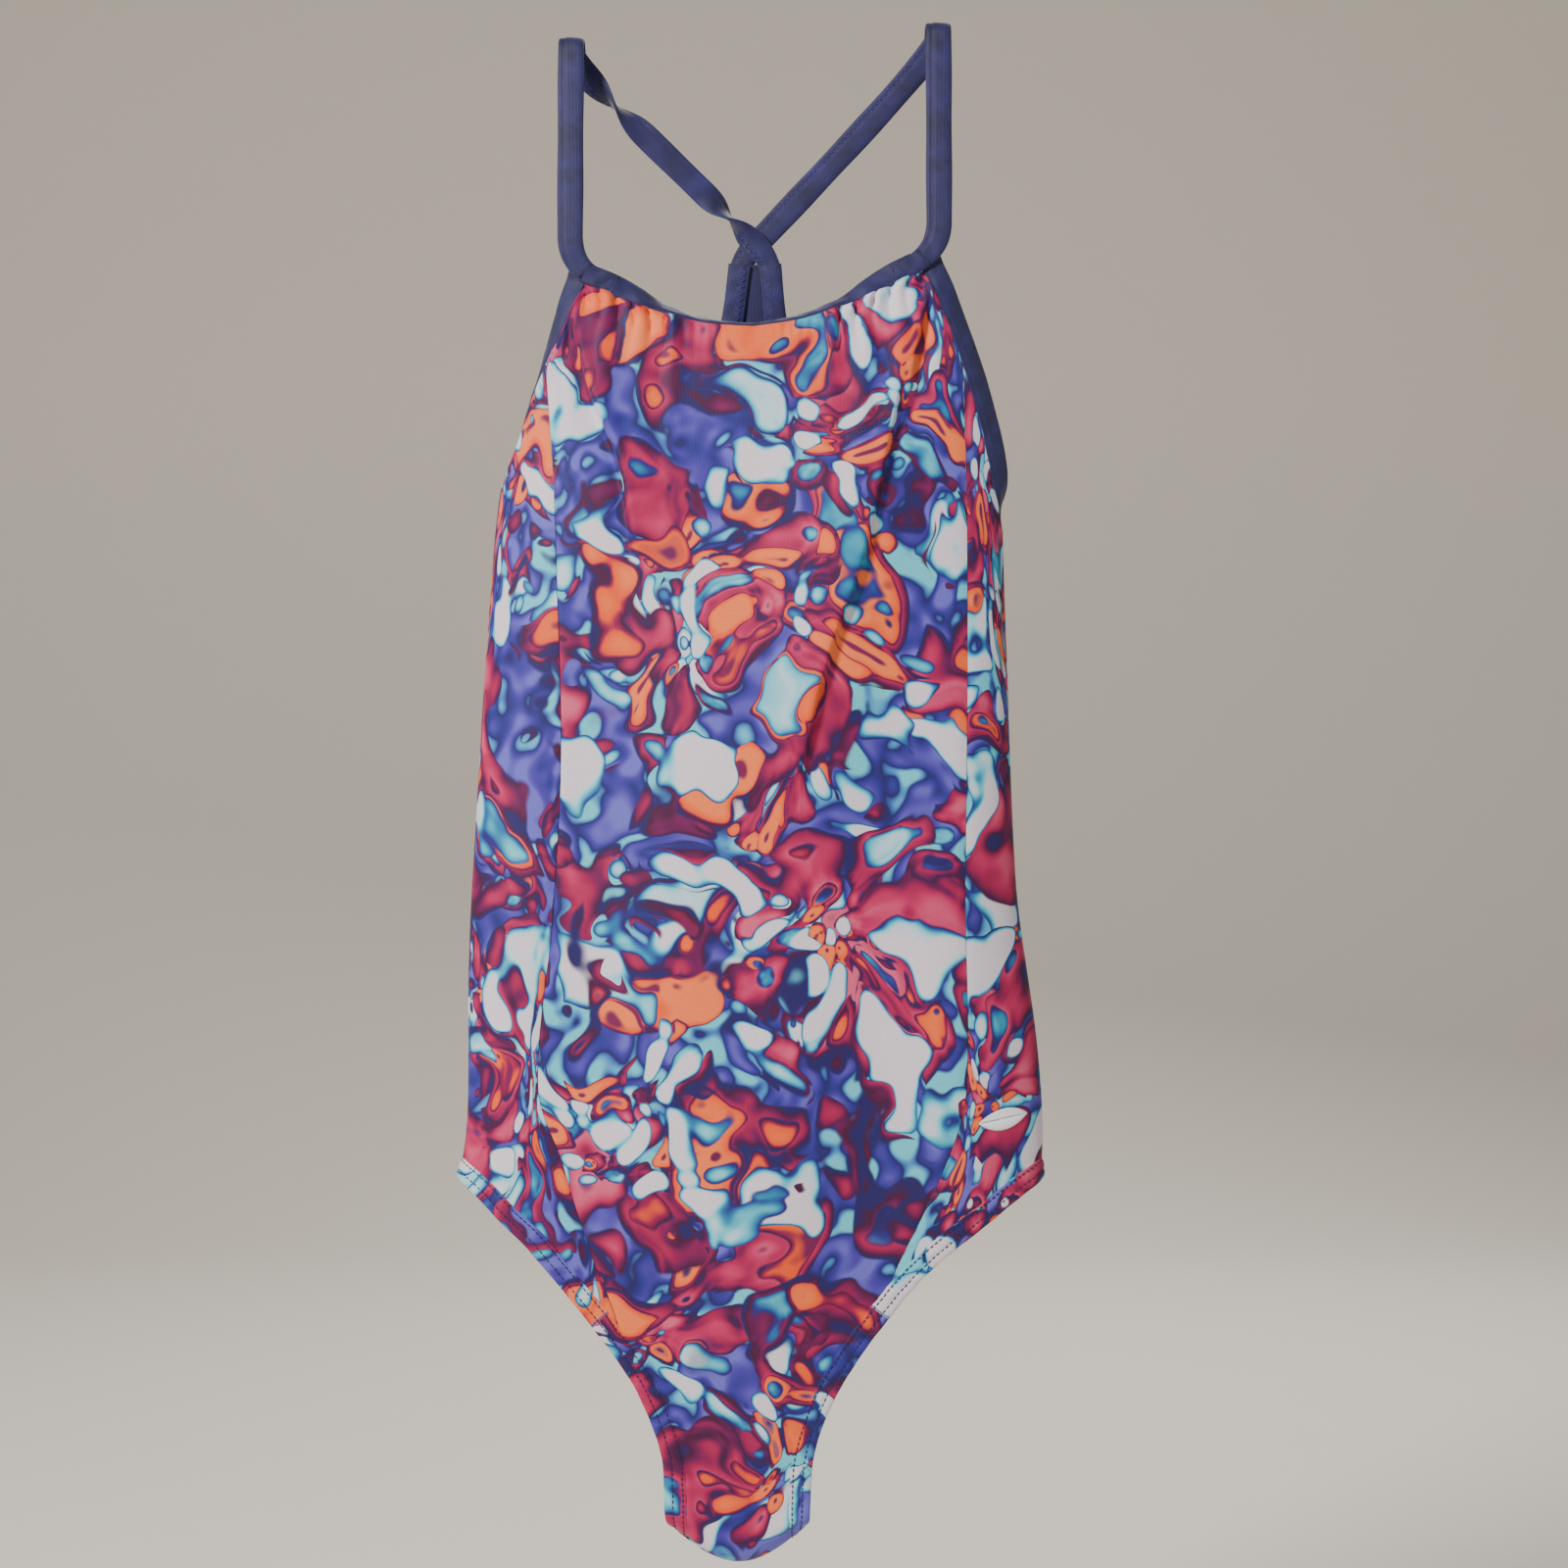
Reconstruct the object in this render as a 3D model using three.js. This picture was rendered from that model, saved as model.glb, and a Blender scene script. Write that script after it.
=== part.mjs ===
// A sleeveless one-piece training suit with thin crossed straps, as it hangs from its two straps.
// Millimetres, +Z up, +X to the left side of the wearer, front towards -Y.
// The origin is midway between the undersides of the two strap tops, where the suit hangs.
import * as THREE from "three";

// ---- Overall sizes ----
const HIP_WIDTH = 269; // side to side at the top of the leg openings
const BODY_DEPTH = 54; // front to back at the waist
const BODY_LENGTH = 697; // from the rest of the straps down to where the crotch turns under

// The outlines are drawn for these sizes and follow the ones above.
const DRAWN_WIDTH = 269;
const DRAWN_DEPTH = 54;
const DRAWN_LENGTH = 697;
const wide = (x) => (x * HIP_WIDTH) / DRAWN_WIDTH;
const deep = (y) => (y * BODY_DEPTH) / DRAWN_DEPTH;
const down = (z) => (-z * BODY_LENGTH) / DRAWN_LENGTH;

// ---- Cloth and trims ----
const FABRIC = 1.2; // printed knit
const LINING = 0.8; // lining knit
const GAP = 0.3; // clearance between pieces that touch
const SEAM_GAP = 0.5; // from a seam line to each panel sewn there
const EDGE_GAP = 0.4; // from a cut edge to the band that covers it
const LINING_GAP = 0.8; // between a printed panel and the lining behind it
const BAND_WALL = 0.5; // folded knit on each side of an elastic
const ELASTIC = 0.5; // thickness of every elastic
const ELASTIC_PLAY = 0.5; // room between an elastic's faces and its casing
const ELASTIC_SIDE_PLAY = 1.2; // room beside an elastic's edges
const BINDING_WIDTH = 9; // neckline and armhole binding
const HEM_WIDTH = 9; // turned leg hem
const STRAP_WIDTH = 12;
const BAND_THICKNESS = 2 * BAND_WALL + ELASTIC + 2 * ELASTIC_PLAY;

// ---- Places on the body, heights measured down from where the straps rest ----
// Each corner is drawn as its distance across and its height down.
const CORNER = [78.5, 113]; // neckline corner of the cloth
const UNDERARM = [117.6, 231];
const YOKE_CORNER = [22, 165];
const NECK_DROP = 143.8; // down to the lowest point of the neckline
const CORNER_X = wide(CORNER[0]);
const CORNER_Z = down(CORNER[1]);
const YOKE_X = wide(YOKE_CORNER[0]);
const YOKE_SEAM = down(YOKE_CORNER[1]);
const YOKE_TOP = down(104);
const WAIST_ROW = down(300); // rows of cloth are level from here down
const HIP_Z = down(521); // top of the leg opening at the side
const GUSSET_Z = down(604); // where the front lining ends and the crotch lining starts
const FOLD_Z = -BODY_LENGTH; // the crotch turns under from here
const FOLD_RADIUS = 11;
const CLOTH_END = FOLD_Z - (FOLD_RADIUS * Math.PI) / 2;

// ---- Straps ----
const STRAP_X = CORNER_X + 0.5 + STRAP_WIDTH / 2; // centre of each strap, just outside the corner
const STRAP_TILT = 7; // how much higher the suit hangs on the +X strap
const REST_RADIUS = 5; // the rod or hanger arm that a strap bends over
const REST_SEGMENTS = 5;
const STRAP_FOOT = 5; // how far above the neckline corner a strap starts
const CROSS_Z = down(97); // the straps cross here at the centre back
const CROSS_DEPTH = deep(13);

// ---- Label and motif ----
const LABEL_WIDTH = 24;
const LABEL_LENGTH = 30;
const LABEL_THICKNESS = 0.4;
const LABEL_Z = YOKE_SEAM - 7;
const MOTIF_X = wide(114);
const MOTIF_Z = down(501);
const MOTIF_WIDTH = 24;
const MOTIF_HEIGHT = 11;

const FRONT = -1;
const BACK = 1;
const { lerp, clamp, smoothstep } = THREE.MathUtils;
const range = (count) => Array.from({ length: count }, (_, i) => i);
const last = (list) => list.length - 1;

// A smooth line through points, as a function of the first number.
// Its slopes are limited so that it never overshoots.
function through(points) {
  const p = [...points].sort((a, b) => a[0] - b[0]);
  const rise = p.slice(1).map(([x, y], i) => (y - p[i][1]) / (x - p[i][0]));
  const slope = p.map((_, i) => {
    const before = rise[Math.max(i - 1, 0)];
    const after = rise[Math.min(i, rise.length - 1)];
    return before * after <= 0 ? 0 : (2 * before * after) / (before + after);
  });
  return (at) => {
    const x = clamp(at, p[0][0], p[p.length - 1][0]);
    const i = Math.min(p.findIndex(([end]) => x <= end) || 1, p.length - 1) - 1;
    const span = p[i + 1][0] - p[i][0];
    const t = (x - p[i][0]) / span;
    const ease = t * t * (3 - 2 * t);
    const bend = slope[i] * t * (1 - t) ** 2 - slope[i + 1] * t * t * (1 - t);
    return lerp(p[i][1], p[i + 1][1], ease) + span * bend;
  };
}

// ---- Outlines, each place given as its height down the body and its distance across ----
const outline = (size, places) => through(places.map(([height, value]) => [down(height), size(value)]));
const HIP = 521;
const halfWidth = outline(wide, [
  [0, 112], [220, 117.5], [300, 121.5], [390, 126], [460, 131.6], [HIP, 134.5], [545, 136.5], [720, 136.5],
]);
const halfDepth = outline(deep, [
  [0, 12], [100, 13], [140, 16], [220, 24], [300, 27], [460, 27], [540, 23], [600, 17], [690, 9.5],
]);
const sway = outline(wide, [[100, 0], [390, -5], [500, 0], [570, -8]]); // the hanging cloth sways sideways
const legPlaces = [
  [HIP, 134.5], [530, 121], [543, 106], [555, 91.8], [574, 74], [588, 62.5], [604, 50.5], [626, 36.8],
  [650, 28.1], [669, 25.4],
];
const legEdge = through([
  ...legPlaces.map(([height, x]) => [down(height), wide(x)]), [CLOTH_END, wide(24.3)],
]);
const yokeHalf = outline(wide, [[104, 3], [135, 7], [165, 22]]);
const leftSeam = outline(wide, [
  [150, -95.5], [240, -87.5], [330, -84], [400, -87], [487, -99], [525, -85.5], [592, -56], [640, -44],
]);
const rightSeam = outline(wide, [
  [150, 97], [240, 101], [330, 102], [400, 101], [487, 97], [525, 88], [562, 76], [600, 62],
]);

// Edges given as a height at each distance across.
const edgeAcross = (places) => through(places.map(([x, height]) => [wide(x), down(height)]));
const neckEdge = edgeAcross([[0, NECK_DROP], [20, 140.8], [40, 133.8], [60, 121.8], CORNER]);
const frontArmEdge = edgeAcross([
  CORNER, [88, 141], [94.5, 165], [100.5, 189], [108, 213], UNDERARM,
]);
const backArmEdge = edgeAcross([
  YOKE_CORNER, [40, 190], [62, 209], [85, 221], [104, 228], UNDERARM,
]);
const frontTop = (x) => (Math.abs(x) < CORNER_X ? neckEdge : frontArmEdge)(Math.abs(x));
const backTop = (x) => (Math.abs(x) < YOKE_X ? YOKE_SEAM : backArmEdge(Math.abs(x)));
const legOrSide = (height) => (height >= HIP_Z ? halfWidth : legEdge)(height);

// The point of the cloth at x across and a height along it.
// Below the fold line the cloth turns under in a quarter circle.
function onBody(x, height, side) {
  const turn = clamp((FOLD_Z - height) / FOLD_RADIUS, 0, Math.PI / 2);
  const z = turn > 0 ? FOLD_Z - FOLD_RADIUS * Math.sin(turn) : height;
  const across = clamp(Math.abs(x) / halfWidth(height), 0, 1);
  const depth = halfDepth(height) * Math.cos(turn) * Math.sqrt(1 - across ** 2.4);
  const tilt = (STRAP_TILT * x * smoothstep(height, down(260), down(150))) / (2 * STRAP_X);
  return new THREE.Vector3(x + sway(height), side * (depth + SEAM_GAP / 2), z + tilt);
}

// The direction straight out of the cloth there.
function outOfBody(x, height, side) {
  const step = 0.02;
  const across = onBody(x + step, height, side).sub(onBody(x - step, height, side));
  const up = onBody(x, height + step, side).sub(onBody(x, height - step, side));
  return across.cross(up).multiplyScalar(-side).normalize();
}

// The height between low and high where the test stops being true on the way up.
function meeting(low, high, test) {
  for (let i = 0; i < 40; i++) {
    const middle = (low + high) / 2;
    if (test(middle)) low = middle;
    else high = middle;
  }
  return low;
}

// ---- A piece of cloth as a grid of points ----
// Its columns go from one side line to the other, and its rows from its top to its bottom.
function cloth({ side, left, right, shares, top, bottom = () => CLOTH_END, rows }) {
  const order = side === FRONT ? shares : [...shares].reverse();
  const places = order.map((share) => {
    const x = (height) => lerp(left(height), right(height), share);
    return rows(top(x), bottom(x)).map((height) => [x(height), height]);
  });
  const points = places.map((column) => column.map(([x, height]) => onBody(x, height, side)));
  const normals = places.map((column) => column.map(([x, height]) => outOfBody(x, height, side)));
  return { points, normals };
}

const topAt = (edge) => (x) => meeting(down(400), 0, (height) => height < edge(x(height)));
const withinLeg = (x, height) => Math.abs(x(height)) < legOrSide(height) - 1e-6;
const legAt = (x) => -meeting(-HIP_Z, -CLOTH_END, (drop) => withinLeg(x, -drop));

// Level rows from the waist down, close together round the hip and the fold.
const LOWER_ROWS = [
  ...[340, 380, 420, 460, 500].map(down),
  ...[0, 0.2, 0.8, 1.8, 3.4, 5.8].map((drop) => HIP_Z - drop),
  ...[531, 537, 546, 555, 564, 574, 588, 604, 626, 650, 674].map(down),
  ...[0, 1, 2, 3].map((i) => lerp(FOLD_Z, CLOTH_END, i / 3)),
];
const UPPER_SHARES = [0, 0.06, 0.16, 0.36, 0.66, 1];
const longRows = (high) => [...UPPER_SHARES.map((t) => lerp(high, WAIST_ROW, t)), ...LOWER_ROWS];
const evenRows = (count) => (high, low) => range(count + 1).map((i) => lerp(high, low, i / count));

// A closed sheet between two distances from the grid, measured along its outward normals.
function sheet({ points, normals }, outer, inner) {
  const columns = points.length - 1;
  const rows = points[0].length - 1;
  const box = new THREE.BoxGeometry(1, 1, 1, columns, rows, 1);
  const place = box.getAttribute("position");
  for (let k = 0; k < place.count; k++) {
    const i = Math.round((place.getX(k) + 0.5) * columns);
    const j = Math.round((0.5 - place.getY(k)) * rows);
    const out = place.getZ(k) > 0 ? outer : inner;
    const p = points[i][j].clone().addScaledVector(normals[i][j], out);
    place.setXYZ(k, p.x, p.y, p.z);
  }
  box.computeVertexNormals();
  return box;
}

// ---- Bands that run along an edge: bindings, hems, straps and the elastics inside them ----

// A rectangle across the band, w along its width and n through it.
// It has a tunnel for an elastic if there is a wall.
function section(w0, w1, thickness, wall = 0) {
  const rectangle = (path, inset) => {
    path.moveTo(w0 + inset, inset - thickness / 2);
    path.lineTo(w1 - inset, inset - thickness / 2);
    path.lineTo(w1 - inset, thickness / 2 - inset);
    path.lineTo(w0 + inset, thickness / 2 - inset);
    path.closePath();
    return path;
  };
  const shape = rectangle(new THREE.Shape(), 0);
  if (wall) shape.holes.push(rectangle(new THREE.Path(), wall));
  return shape;
}

// Splits each side face of an extrusion along the diagonal that starts at its lower w,
// inside the tunnel and outside alike, so that a twisted band stays clear of the elastic in it.
// The corners come as a, b, d, b, c, d, with a and b on one step.
function matchDiagonals(body) {
  const place = body.getAttribute("position");
  const { start, count } = body.groups[1];
  const corner = (k) => new THREE.Vector3().fromBufferAttribute(place, k);
  for (let k = start; k < start + count; k += 6) {
    const [a, b, c, d] = [corner(k), corner(k + 1), corner(k + 4), corner(k + 2)];
    const lower = Math.abs(a.x - b.x) > 1e-6 ? a.x < b.x : a.y < b.y;
    if (lower) [a, b, c, a, c, d].forEach((p, i) => place.setXYZ(k + i, p.x, p.y, p.z));
  }
}

// Sweeps a section along stations { at, w, n }.
// Each is a place with the directions of the band's width and thickness.
function sweep(shape, stations) {
  const steps = stations.length - 1;
  const body = new THREE.ExtrudeGeometry(shape, { depth: 1, steps, bevelEnabled: false });
  matchDiagonals(body);
  const place = body.getAttribute("position");
  const along = stations[1].at.clone().sub(stations[0].at);
  const forward = stations[0].w.clone().cross(stations[0].n).dot(along) > 0;
  for (let k = 0; k < place.count; k++) {
    const step = Math.round(place.getZ(k) * steps);
    const { at, w, n } = stations[forward ? step : steps - step];
    const p = at.clone().addScaledVector(w, place.getX(k)).addScaledVector(n, place.getY(k));
    place.setXYZ(k, p.x, p.y, p.z);
  }
  body.computeVertexNormals();
  return body;
}

// Stations along an edge of a grid. Each entry is [grid, column, row, column inside, row inside].
function edgeStations(entries) {
  const spots = entries.map(([grid, i, j, k, l]) => ({
    at: grid.points[i][j].clone().addScaledVector(grid.normals[i][j], -FABRIC / 2),
    n: grid.normals[i][j].clone(),
    away: grid.points[i][j].clone().sub(grid.points[k][l]),
  }));
  const ahead = (i) => spots[Math.min(i + 1, spots.length - 1)];
  const behind = (i) => spots[Math.max(i - 1, 0)];
  spots.forEach((spot, i) => {
    spot.along = ahead(i).at.clone().sub(behind(i).at).normalize();
    spot.out = spot.along.clone().cross(spot.n).normalize();
    if (spot.out.dot(spot.away) < 0) spot.out.negate();
  });
  return spots.map(({ at, n, along, out }, i) => {
    const w = out.clone().multiplyScalar(2).add(ahead(i).out).add(behind(i).out);
    w.addScaledVector(along, -w.dot(along)).normalize();
    const up = along.clone().cross(w);
    return { at, w, n: up.dot(n) < 0 ? up.negate() : up };
  });
}

// ---- Printed panels ----
const across = (low, high) => (x) => (x - low) / (high - low);
const centreShares = [
  ...[-95.5, -91, -87, -82.5, -CORNER[0], -70, -55, -40, -25, -10],
  ...[5, 20, 35, 50, 62, 71, CORNER[0], 83, 88, 92.5, 97],
].map(across(-95.5, 97));
const sideShares = [0, 0.004, 0.012, 0.025, 0.05, 0.09, 0.15, 0.22, 0.35, 0.55, 0.78, 1];
const backXs = [
  -UNDERARM[0], -117.3, -116.4, -114.4, -110, -102, -90, -74, -56, -38, -YOKE_CORNER[0], -10, 0,
];
const backShares = backXs.map(across(-UNDERARM[0], 0));

const frontCentre = cloth({
  side: FRONT,
  left: (h) => Math.max(leftSeam(h) + SEAM_GAP, -legOrSide(h)),
  right: (h) => Math.min(rightSeam(h) - SEAM_GAP, legOrSide(h)),
  shares: centreShares,
  top: topAt(frontTop),
  rows: longRows,
});
const frontLeft = cloth({
  side: FRONT,
  left: (h) => -halfWidth(h),
  right: (h) => leftSeam(h) - SEAM_GAP,
  shares: sideShares,
  top: topAt(frontTop),
  bottom: legAt,
  rows: evenRows(24),
});
const frontRight = cloth({
  side: FRONT,
  left: (h) => rightSeam(h) + SEAM_GAP,
  right: halfWidth,
  shares: sideShares.map((t) => 1 - t).reverse(),
  top: topAt(frontTop),
  bottom: legAt,
  rows: evenRows(24),
});
const backLeft = cloth({
  side: BACK,
  left: (h) => -legOrSide(h),
  right: () => -SEAM_GAP,
  shares: backShares,
  top: topAt((x) => backTop(x) - GAP),
  rows: longRows,
});
const backRight = cloth({
  side: BACK,
  left: () => SEAM_GAP,
  right: legOrSide,
  shares: backShares.map((t) => 1 - t).reverse(),
  top: topAt((x) => backTop(x) - GAP),
  rows: longRows,
});
const yoke = cloth({
  side: BACK,
  left: (h) => -yokeHalf(h),
  right: yokeHalf,
  shares: [0, 0.5, 1],
  top: () => YOKE_TOP,
  bottom: () => YOKE_SEAM,
  rows: evenRows(6),
});

// ---- Linings, inside the printed panels and short of every edge and seam ----
const LINING_MARGIN = 3;
const frontLining = cloth({
  side: FRONT,
  left: (h) => Math.max(leftSeam(h), -legOrSide(h)) + LINING_MARGIN,
  right: (h) => Math.min(rightSeam(h), legOrSide(h)) - LINING_MARGIN,
  shares: centreShares,
  top: topAt((x) => frontTop(x) - LINING_MARGIN),
  bottom: () => GUSSET_Z + LINING_MARGIN,
  rows: evenRows(16),
});
const crotchLining = cloth({
  side: FRONT,
  left: (h) => -legEdge(h) + LINING_MARGIN,
  right: (h) => legEdge(h) - LINING_MARGIN,
  shares: [0, 0.25, 0.5, 0.75, 1],
  top: () => GUSSET_Z,
  bottom: () => FOLD_Z,
  rows: evenRows(6),
});

// ---- Edges that carry a band ----
const CORNER_COLUMN = 4; // the neckline corner's place in centreShares, from either end
const neckColumns = range(centreShares.length).slice(CORNER_COLUMN, -CORNER_COLUMN);
const neckEntries = neckColumns.map((i) => [frontCentre, i, 0, i, 1]);
const neckStations = edgeStations(neckEntries).map(({ at, n }) => {
  const w = new THREE.Vector3(0, 0, 1).addScaledVector(n, -n.z).normalize();
  return { at, w, n };
});

// The armhole edge on one side: from the neckline corner, under the arm, and up the back to the crossing.
function armEntries(sign) {
  const column = (grid, i) => (sign < 0 ? i : last(grid.points) - i);
  const topOf = (grid) => (i) => [grid, column(grid, i), 0, column(grid, i), 1];
  const centre = range(CORNER_COLUMN + 1).reverse().map(topOf(frontCentre));
  const sidePanel = sign < 0 ? frontLeft : frontRight;
  const front = range(sideShares.length - 1).reverse();
  const side = front.map(topOf(sidePanel));
  const backPanel = sign < 0 ? backLeft : backRight;
  const fromSide = (i) => (sign < 0 ? last(backPanel.points) - i : i);
  const rising = range(backXs.indexOf(-YOKE_CORNER[0]) + 1).slice(1);
  const back = rising.map((i) => [backPanel, fromSide(i), 0, fromSide(i), 1]);
  const yokeEdge = sign < 0 ? last(yoke.points) : 0;
  const up = range(yoke.points[0].length).slice(0, -1).reverse();
  const neck = up.map((j) => [yoke, yokeEdge, j, 1, j]);
  return [...centre, ...side, ...back, ...neck];
}

// The leg edge on one side: from the hip down the front, under the crotch and up the back to the hip.
function legEntries(sign) {
  const sidePanel = sign < 0 ? frontLeft : frontRight;
  const bottom = last(sidePanel.points[0]);
  const order = range(sideShares.length);
  const down = (sign < 0 ? order : order.reverse()).map((i) => [sidePanel, i, bottom, i, bottom - 1]);
  const edge = sign < 0 ? 0 : last(frontCentre.points);
  const inner = sign < 0 ? 1 : edge - 1;
  const lowest = sidePanel.points[down[last(down)][1]][bottom].z - GAP;
  const rows = range(frontCentre.points[0].length);
  const belowSeam = rows.filter((j) => frontCentre.points[edge][j].z < lowest);
  const front = belowSeam.map((j) => [frontCentre, edge, j, inner, j]);
  const backPanel = sign < 0 ? backLeft : backRight;
  const backEdge = sign < 0 ? last(backPanel.points) : 0;
  const backInner = sign < 0 ? backEdge - 1 : 1;
  const rising = rows
    .filter((j) => j >= UPPER_SHARES.length + LOWER_ROWS.indexOf(HIP_Z) && j < last(rows))
    .reverse()
    .map((j) => [backPanel, backEdge, j, backInner, j]);
  return [...down, ...front, ...rising];
}

// ---- Straps: up from the neckline corner, over the rest and down across the back to the crossing ----
function strapStations(sign) {
  const tilt = (sign * STRAP_TILT) / 2;
  const middle = REST_RADIUS + BAND_THICKNESS / 2;
  const flat = REST_RADIUS * Math.cos(Math.PI / (2 * REST_SEGMENTS));
  const restZ = tilt - flat;
  const x = sign * STRAP_X;
  const foot = onBody(STRAP_X * sign, CORNER_Z, FRONT);
  const low = new THREE.Vector3(x, foot.y, CORNER_Z + STRAP_FOOT + tilt);
  const high = new THREE.Vector3(x, -middle, restZ);
  const up = range(10).map((i) => low.clone().lerp(high, i / 10));
  const over = range(REST_SEGMENTS + 1).map((i) => {
    const angle = Math.PI * (1 - i / REST_SEGMENTS);
    return new THREE.Vector3(x, Math.cos(angle) * middle, restZ + Math.sin(angle) * middle);
  });
  const layer = (sign * (BAND_THICKNESS + GAP)) / 2;
  const end = new THREE.Vector3(-2 * sign, CROSS_DEPTH + layer, CROSS_Z);
  const down = new THREE.CubicBezierCurve3(
    new THREE.Vector3(x, middle, restZ),
    new THREE.Vector3(x - sign * 6, middle + 2, restZ - 12),
    new THREE.Vector3(end.x + sign * 30, end.y, end.z + 32),
    end,
  ).getPoints(48);
  const places = [...up, ...over, ...down.slice(1)];
  const firstDown = up.length + over.length;
  return places.map((at, i) => {
    const along = places[Math.min(i + 1, last(places))].clone().sub(places[Math.max(i - 1, 0)]).normalize();
    const w = new THREE.Vector3(1, 0, 0).addScaledVector(along, -along.x).normalize();
    const share = Math.max(0, (i - firstDown) / (places.length - firstDown));
    const turn = sign < 0 ? Math.PI * (smoothstep(share, 0.04, 0.38) - smoothstep(share, 0.62, 0.92)) : 0;
    w.applyAxisAngle(along, turn);
    return { at, w, n: along.clone().cross(w) };
  });
}

// ---- Materials and assembly ----
const suit = new THREE.Group();
const finish = (color, roughness) => new THREE.MeshStandardMaterial({ color, roughness, metalness: 0 });
const PRINT = finish(0x8f4a86, 0.7);
const NAVY = finish(0x2f2f66, 0.65);
const LINING_KNIT = finish(0x3a3a6a, 0.8);
const RUBBER = finish(0xe8e4da, 0.6);
const THREAD = finish(0x50509a, 0.6);
const WHITE = finish(0xf2f2f2, 0.6);

function add(name, geometry, material) {
  const mesh = new THREE.Mesh(geometry, material);
  mesh.name = name;
  suit.add(mesh);
}

// A band and the elastic inside it, along the same stations.
function addBand(band, elastic, stations, w0, w1) {
  add(band, sweep(section(w0, w1, BAND_THICKNESS, BAND_WALL), stations), NAVY);
  const inset = BAND_WALL + ELASTIC_SIDE_PLAY;
  add(elastic, sweep(section(w0 + inset, w1 - inset, ELASTIC), stations), RUBBER);
}

add("front_centre_panel", sheet(frontCentre, 0, -FABRIC), PRINT);
add("front_side_panel_left", sheet(frontLeft, 0, -FABRIC), PRINT);
add("front_side_panel_right", sheet(frontRight, 0, -FABRIC), PRINT);
add("back_panel_left", sheet(backLeft, 0, -FABRIC), PRINT);
add("back_panel_right", sheet(backRight, 0, -FABRIC), PRINT);
add("back_yoke", sheet(yoke, 0, -FABRIC), NAVY);
const liningFace = -FABRIC - LINING_GAP;
add("front_lining", sheet(frontLining, liningFace, liningFace - LINING), LINING_KNIT);
add("crotch_lining", sheet(crotchLining, liningFace, liningFace - LINING), LINING_KNIT);

addBand("neckline_binding", "neckline_elastic", neckStations, EDGE_GAP, EDGE_GAP + BINDING_WIDTH);
for (const [side, sign] of [["left", -1], ["right", 1]]) {
  const arm = edgeStations(armEntries(sign));
  const leg = edgeStations(legEntries(sign));
  addBand(`armhole_binding_${side}`, `armhole_elastic_${side}`, arm, EDGE_GAP, EDGE_GAP + BINDING_WIDTH);
  addBand(`leg_hem_${side}`, `leg_elastic_${side}`, leg, EDGE_GAP, EDGE_GAP + HEM_WIDTH);
  const strap = strapStations(sign);
  addBand(`strap_${side}`, `strap_elastic_${side}`, strap, -STRAP_WIDTH / 2, STRAP_WIDTH / 2);

  const tack = new THREE.BoxGeometry(STRAP_WIDTH - 3, 1, 3);
  const foot = strap[0].at;
  tack.translate(foot.x, foot.y + BAND_THICKNESS / 2 + GAP + 0.5, foot.z + 4);
  add(`bartack_front_${side}`, tack, THREAD);
}

const backTack = new THREE.BoxGeometry(12, 1, 6);
backTack.translate(0, CROSS_DEPTH + BAND_THICKNESS + 1.5 * GAP + 0.5, CROSS_Z + 1);
add("bartack_back", backTack, THREAD);

const label = new THREE.BoxGeometry(LABEL_WIDTH, LABEL_THICKNESS, LABEL_LENGTH);
const labelY = halfDepth(LABEL_Z) - FABRIC - GAP - LABEL_THICKNESS;
label.translate(0, labelY, LABEL_Z - LABEL_LENGTH / 2);
add("care_label", label, WHITE);

// A plain embroidered leaf at the hip.
const leafWidth = (h) => {
  const share = (h - MOTIF_Z) / (MOTIF_HEIGHT / 2);
  return (MOTIF_WIDTH / 2) * Math.sqrt(Math.max(0.02, 1 - share ** 2));
};
const motif = cloth({
  side: FRONT,
  left: (h) => MOTIF_X - leafWidth(h),
  right: (h) => MOTIF_X + leafWidth(h),
  shares: [0, 0.2, 0.4, 0.6, 0.8, 1],
  top: () => MOTIF_Z + MOTIF_HEIGHT / 2,
  bottom: () => MOTIF_Z - MOTIF_HEIGHT / 2,
  rows: evenRows(6),
});
add("hip_motif", sheet(motif, GAP + 0.8, GAP), WHITE);

export default suit;
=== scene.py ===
# %% [markdown]
# # A printed training suit with crossed straps, hanging from its straps
# The suit is one garment of stretch knit: printed panels, navy folded bindings and straps, turned leg hems,
# linings, elastics, a small leaf in white thread and a blank satin label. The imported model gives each
# place and size. Here every cloth piece is made again as real cloth, with its gathers, folds and stitches.

import math

import bpy
import numpy as np
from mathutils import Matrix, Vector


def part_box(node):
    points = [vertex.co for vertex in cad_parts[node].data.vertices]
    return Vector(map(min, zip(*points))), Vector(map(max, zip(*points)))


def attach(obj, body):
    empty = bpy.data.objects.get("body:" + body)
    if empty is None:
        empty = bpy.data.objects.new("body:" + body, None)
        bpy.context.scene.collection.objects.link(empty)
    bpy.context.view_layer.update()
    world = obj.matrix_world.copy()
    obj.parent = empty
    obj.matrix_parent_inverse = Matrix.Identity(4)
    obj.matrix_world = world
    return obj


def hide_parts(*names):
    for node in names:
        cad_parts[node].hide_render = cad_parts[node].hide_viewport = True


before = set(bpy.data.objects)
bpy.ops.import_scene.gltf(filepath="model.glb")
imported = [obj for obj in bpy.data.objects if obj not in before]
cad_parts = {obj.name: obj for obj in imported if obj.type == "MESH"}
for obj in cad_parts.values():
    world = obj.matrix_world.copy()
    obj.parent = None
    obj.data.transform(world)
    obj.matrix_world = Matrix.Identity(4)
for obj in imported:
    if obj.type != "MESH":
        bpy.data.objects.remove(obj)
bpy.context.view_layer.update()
bpy.ops.object.select_all(action="DESELECT")

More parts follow.
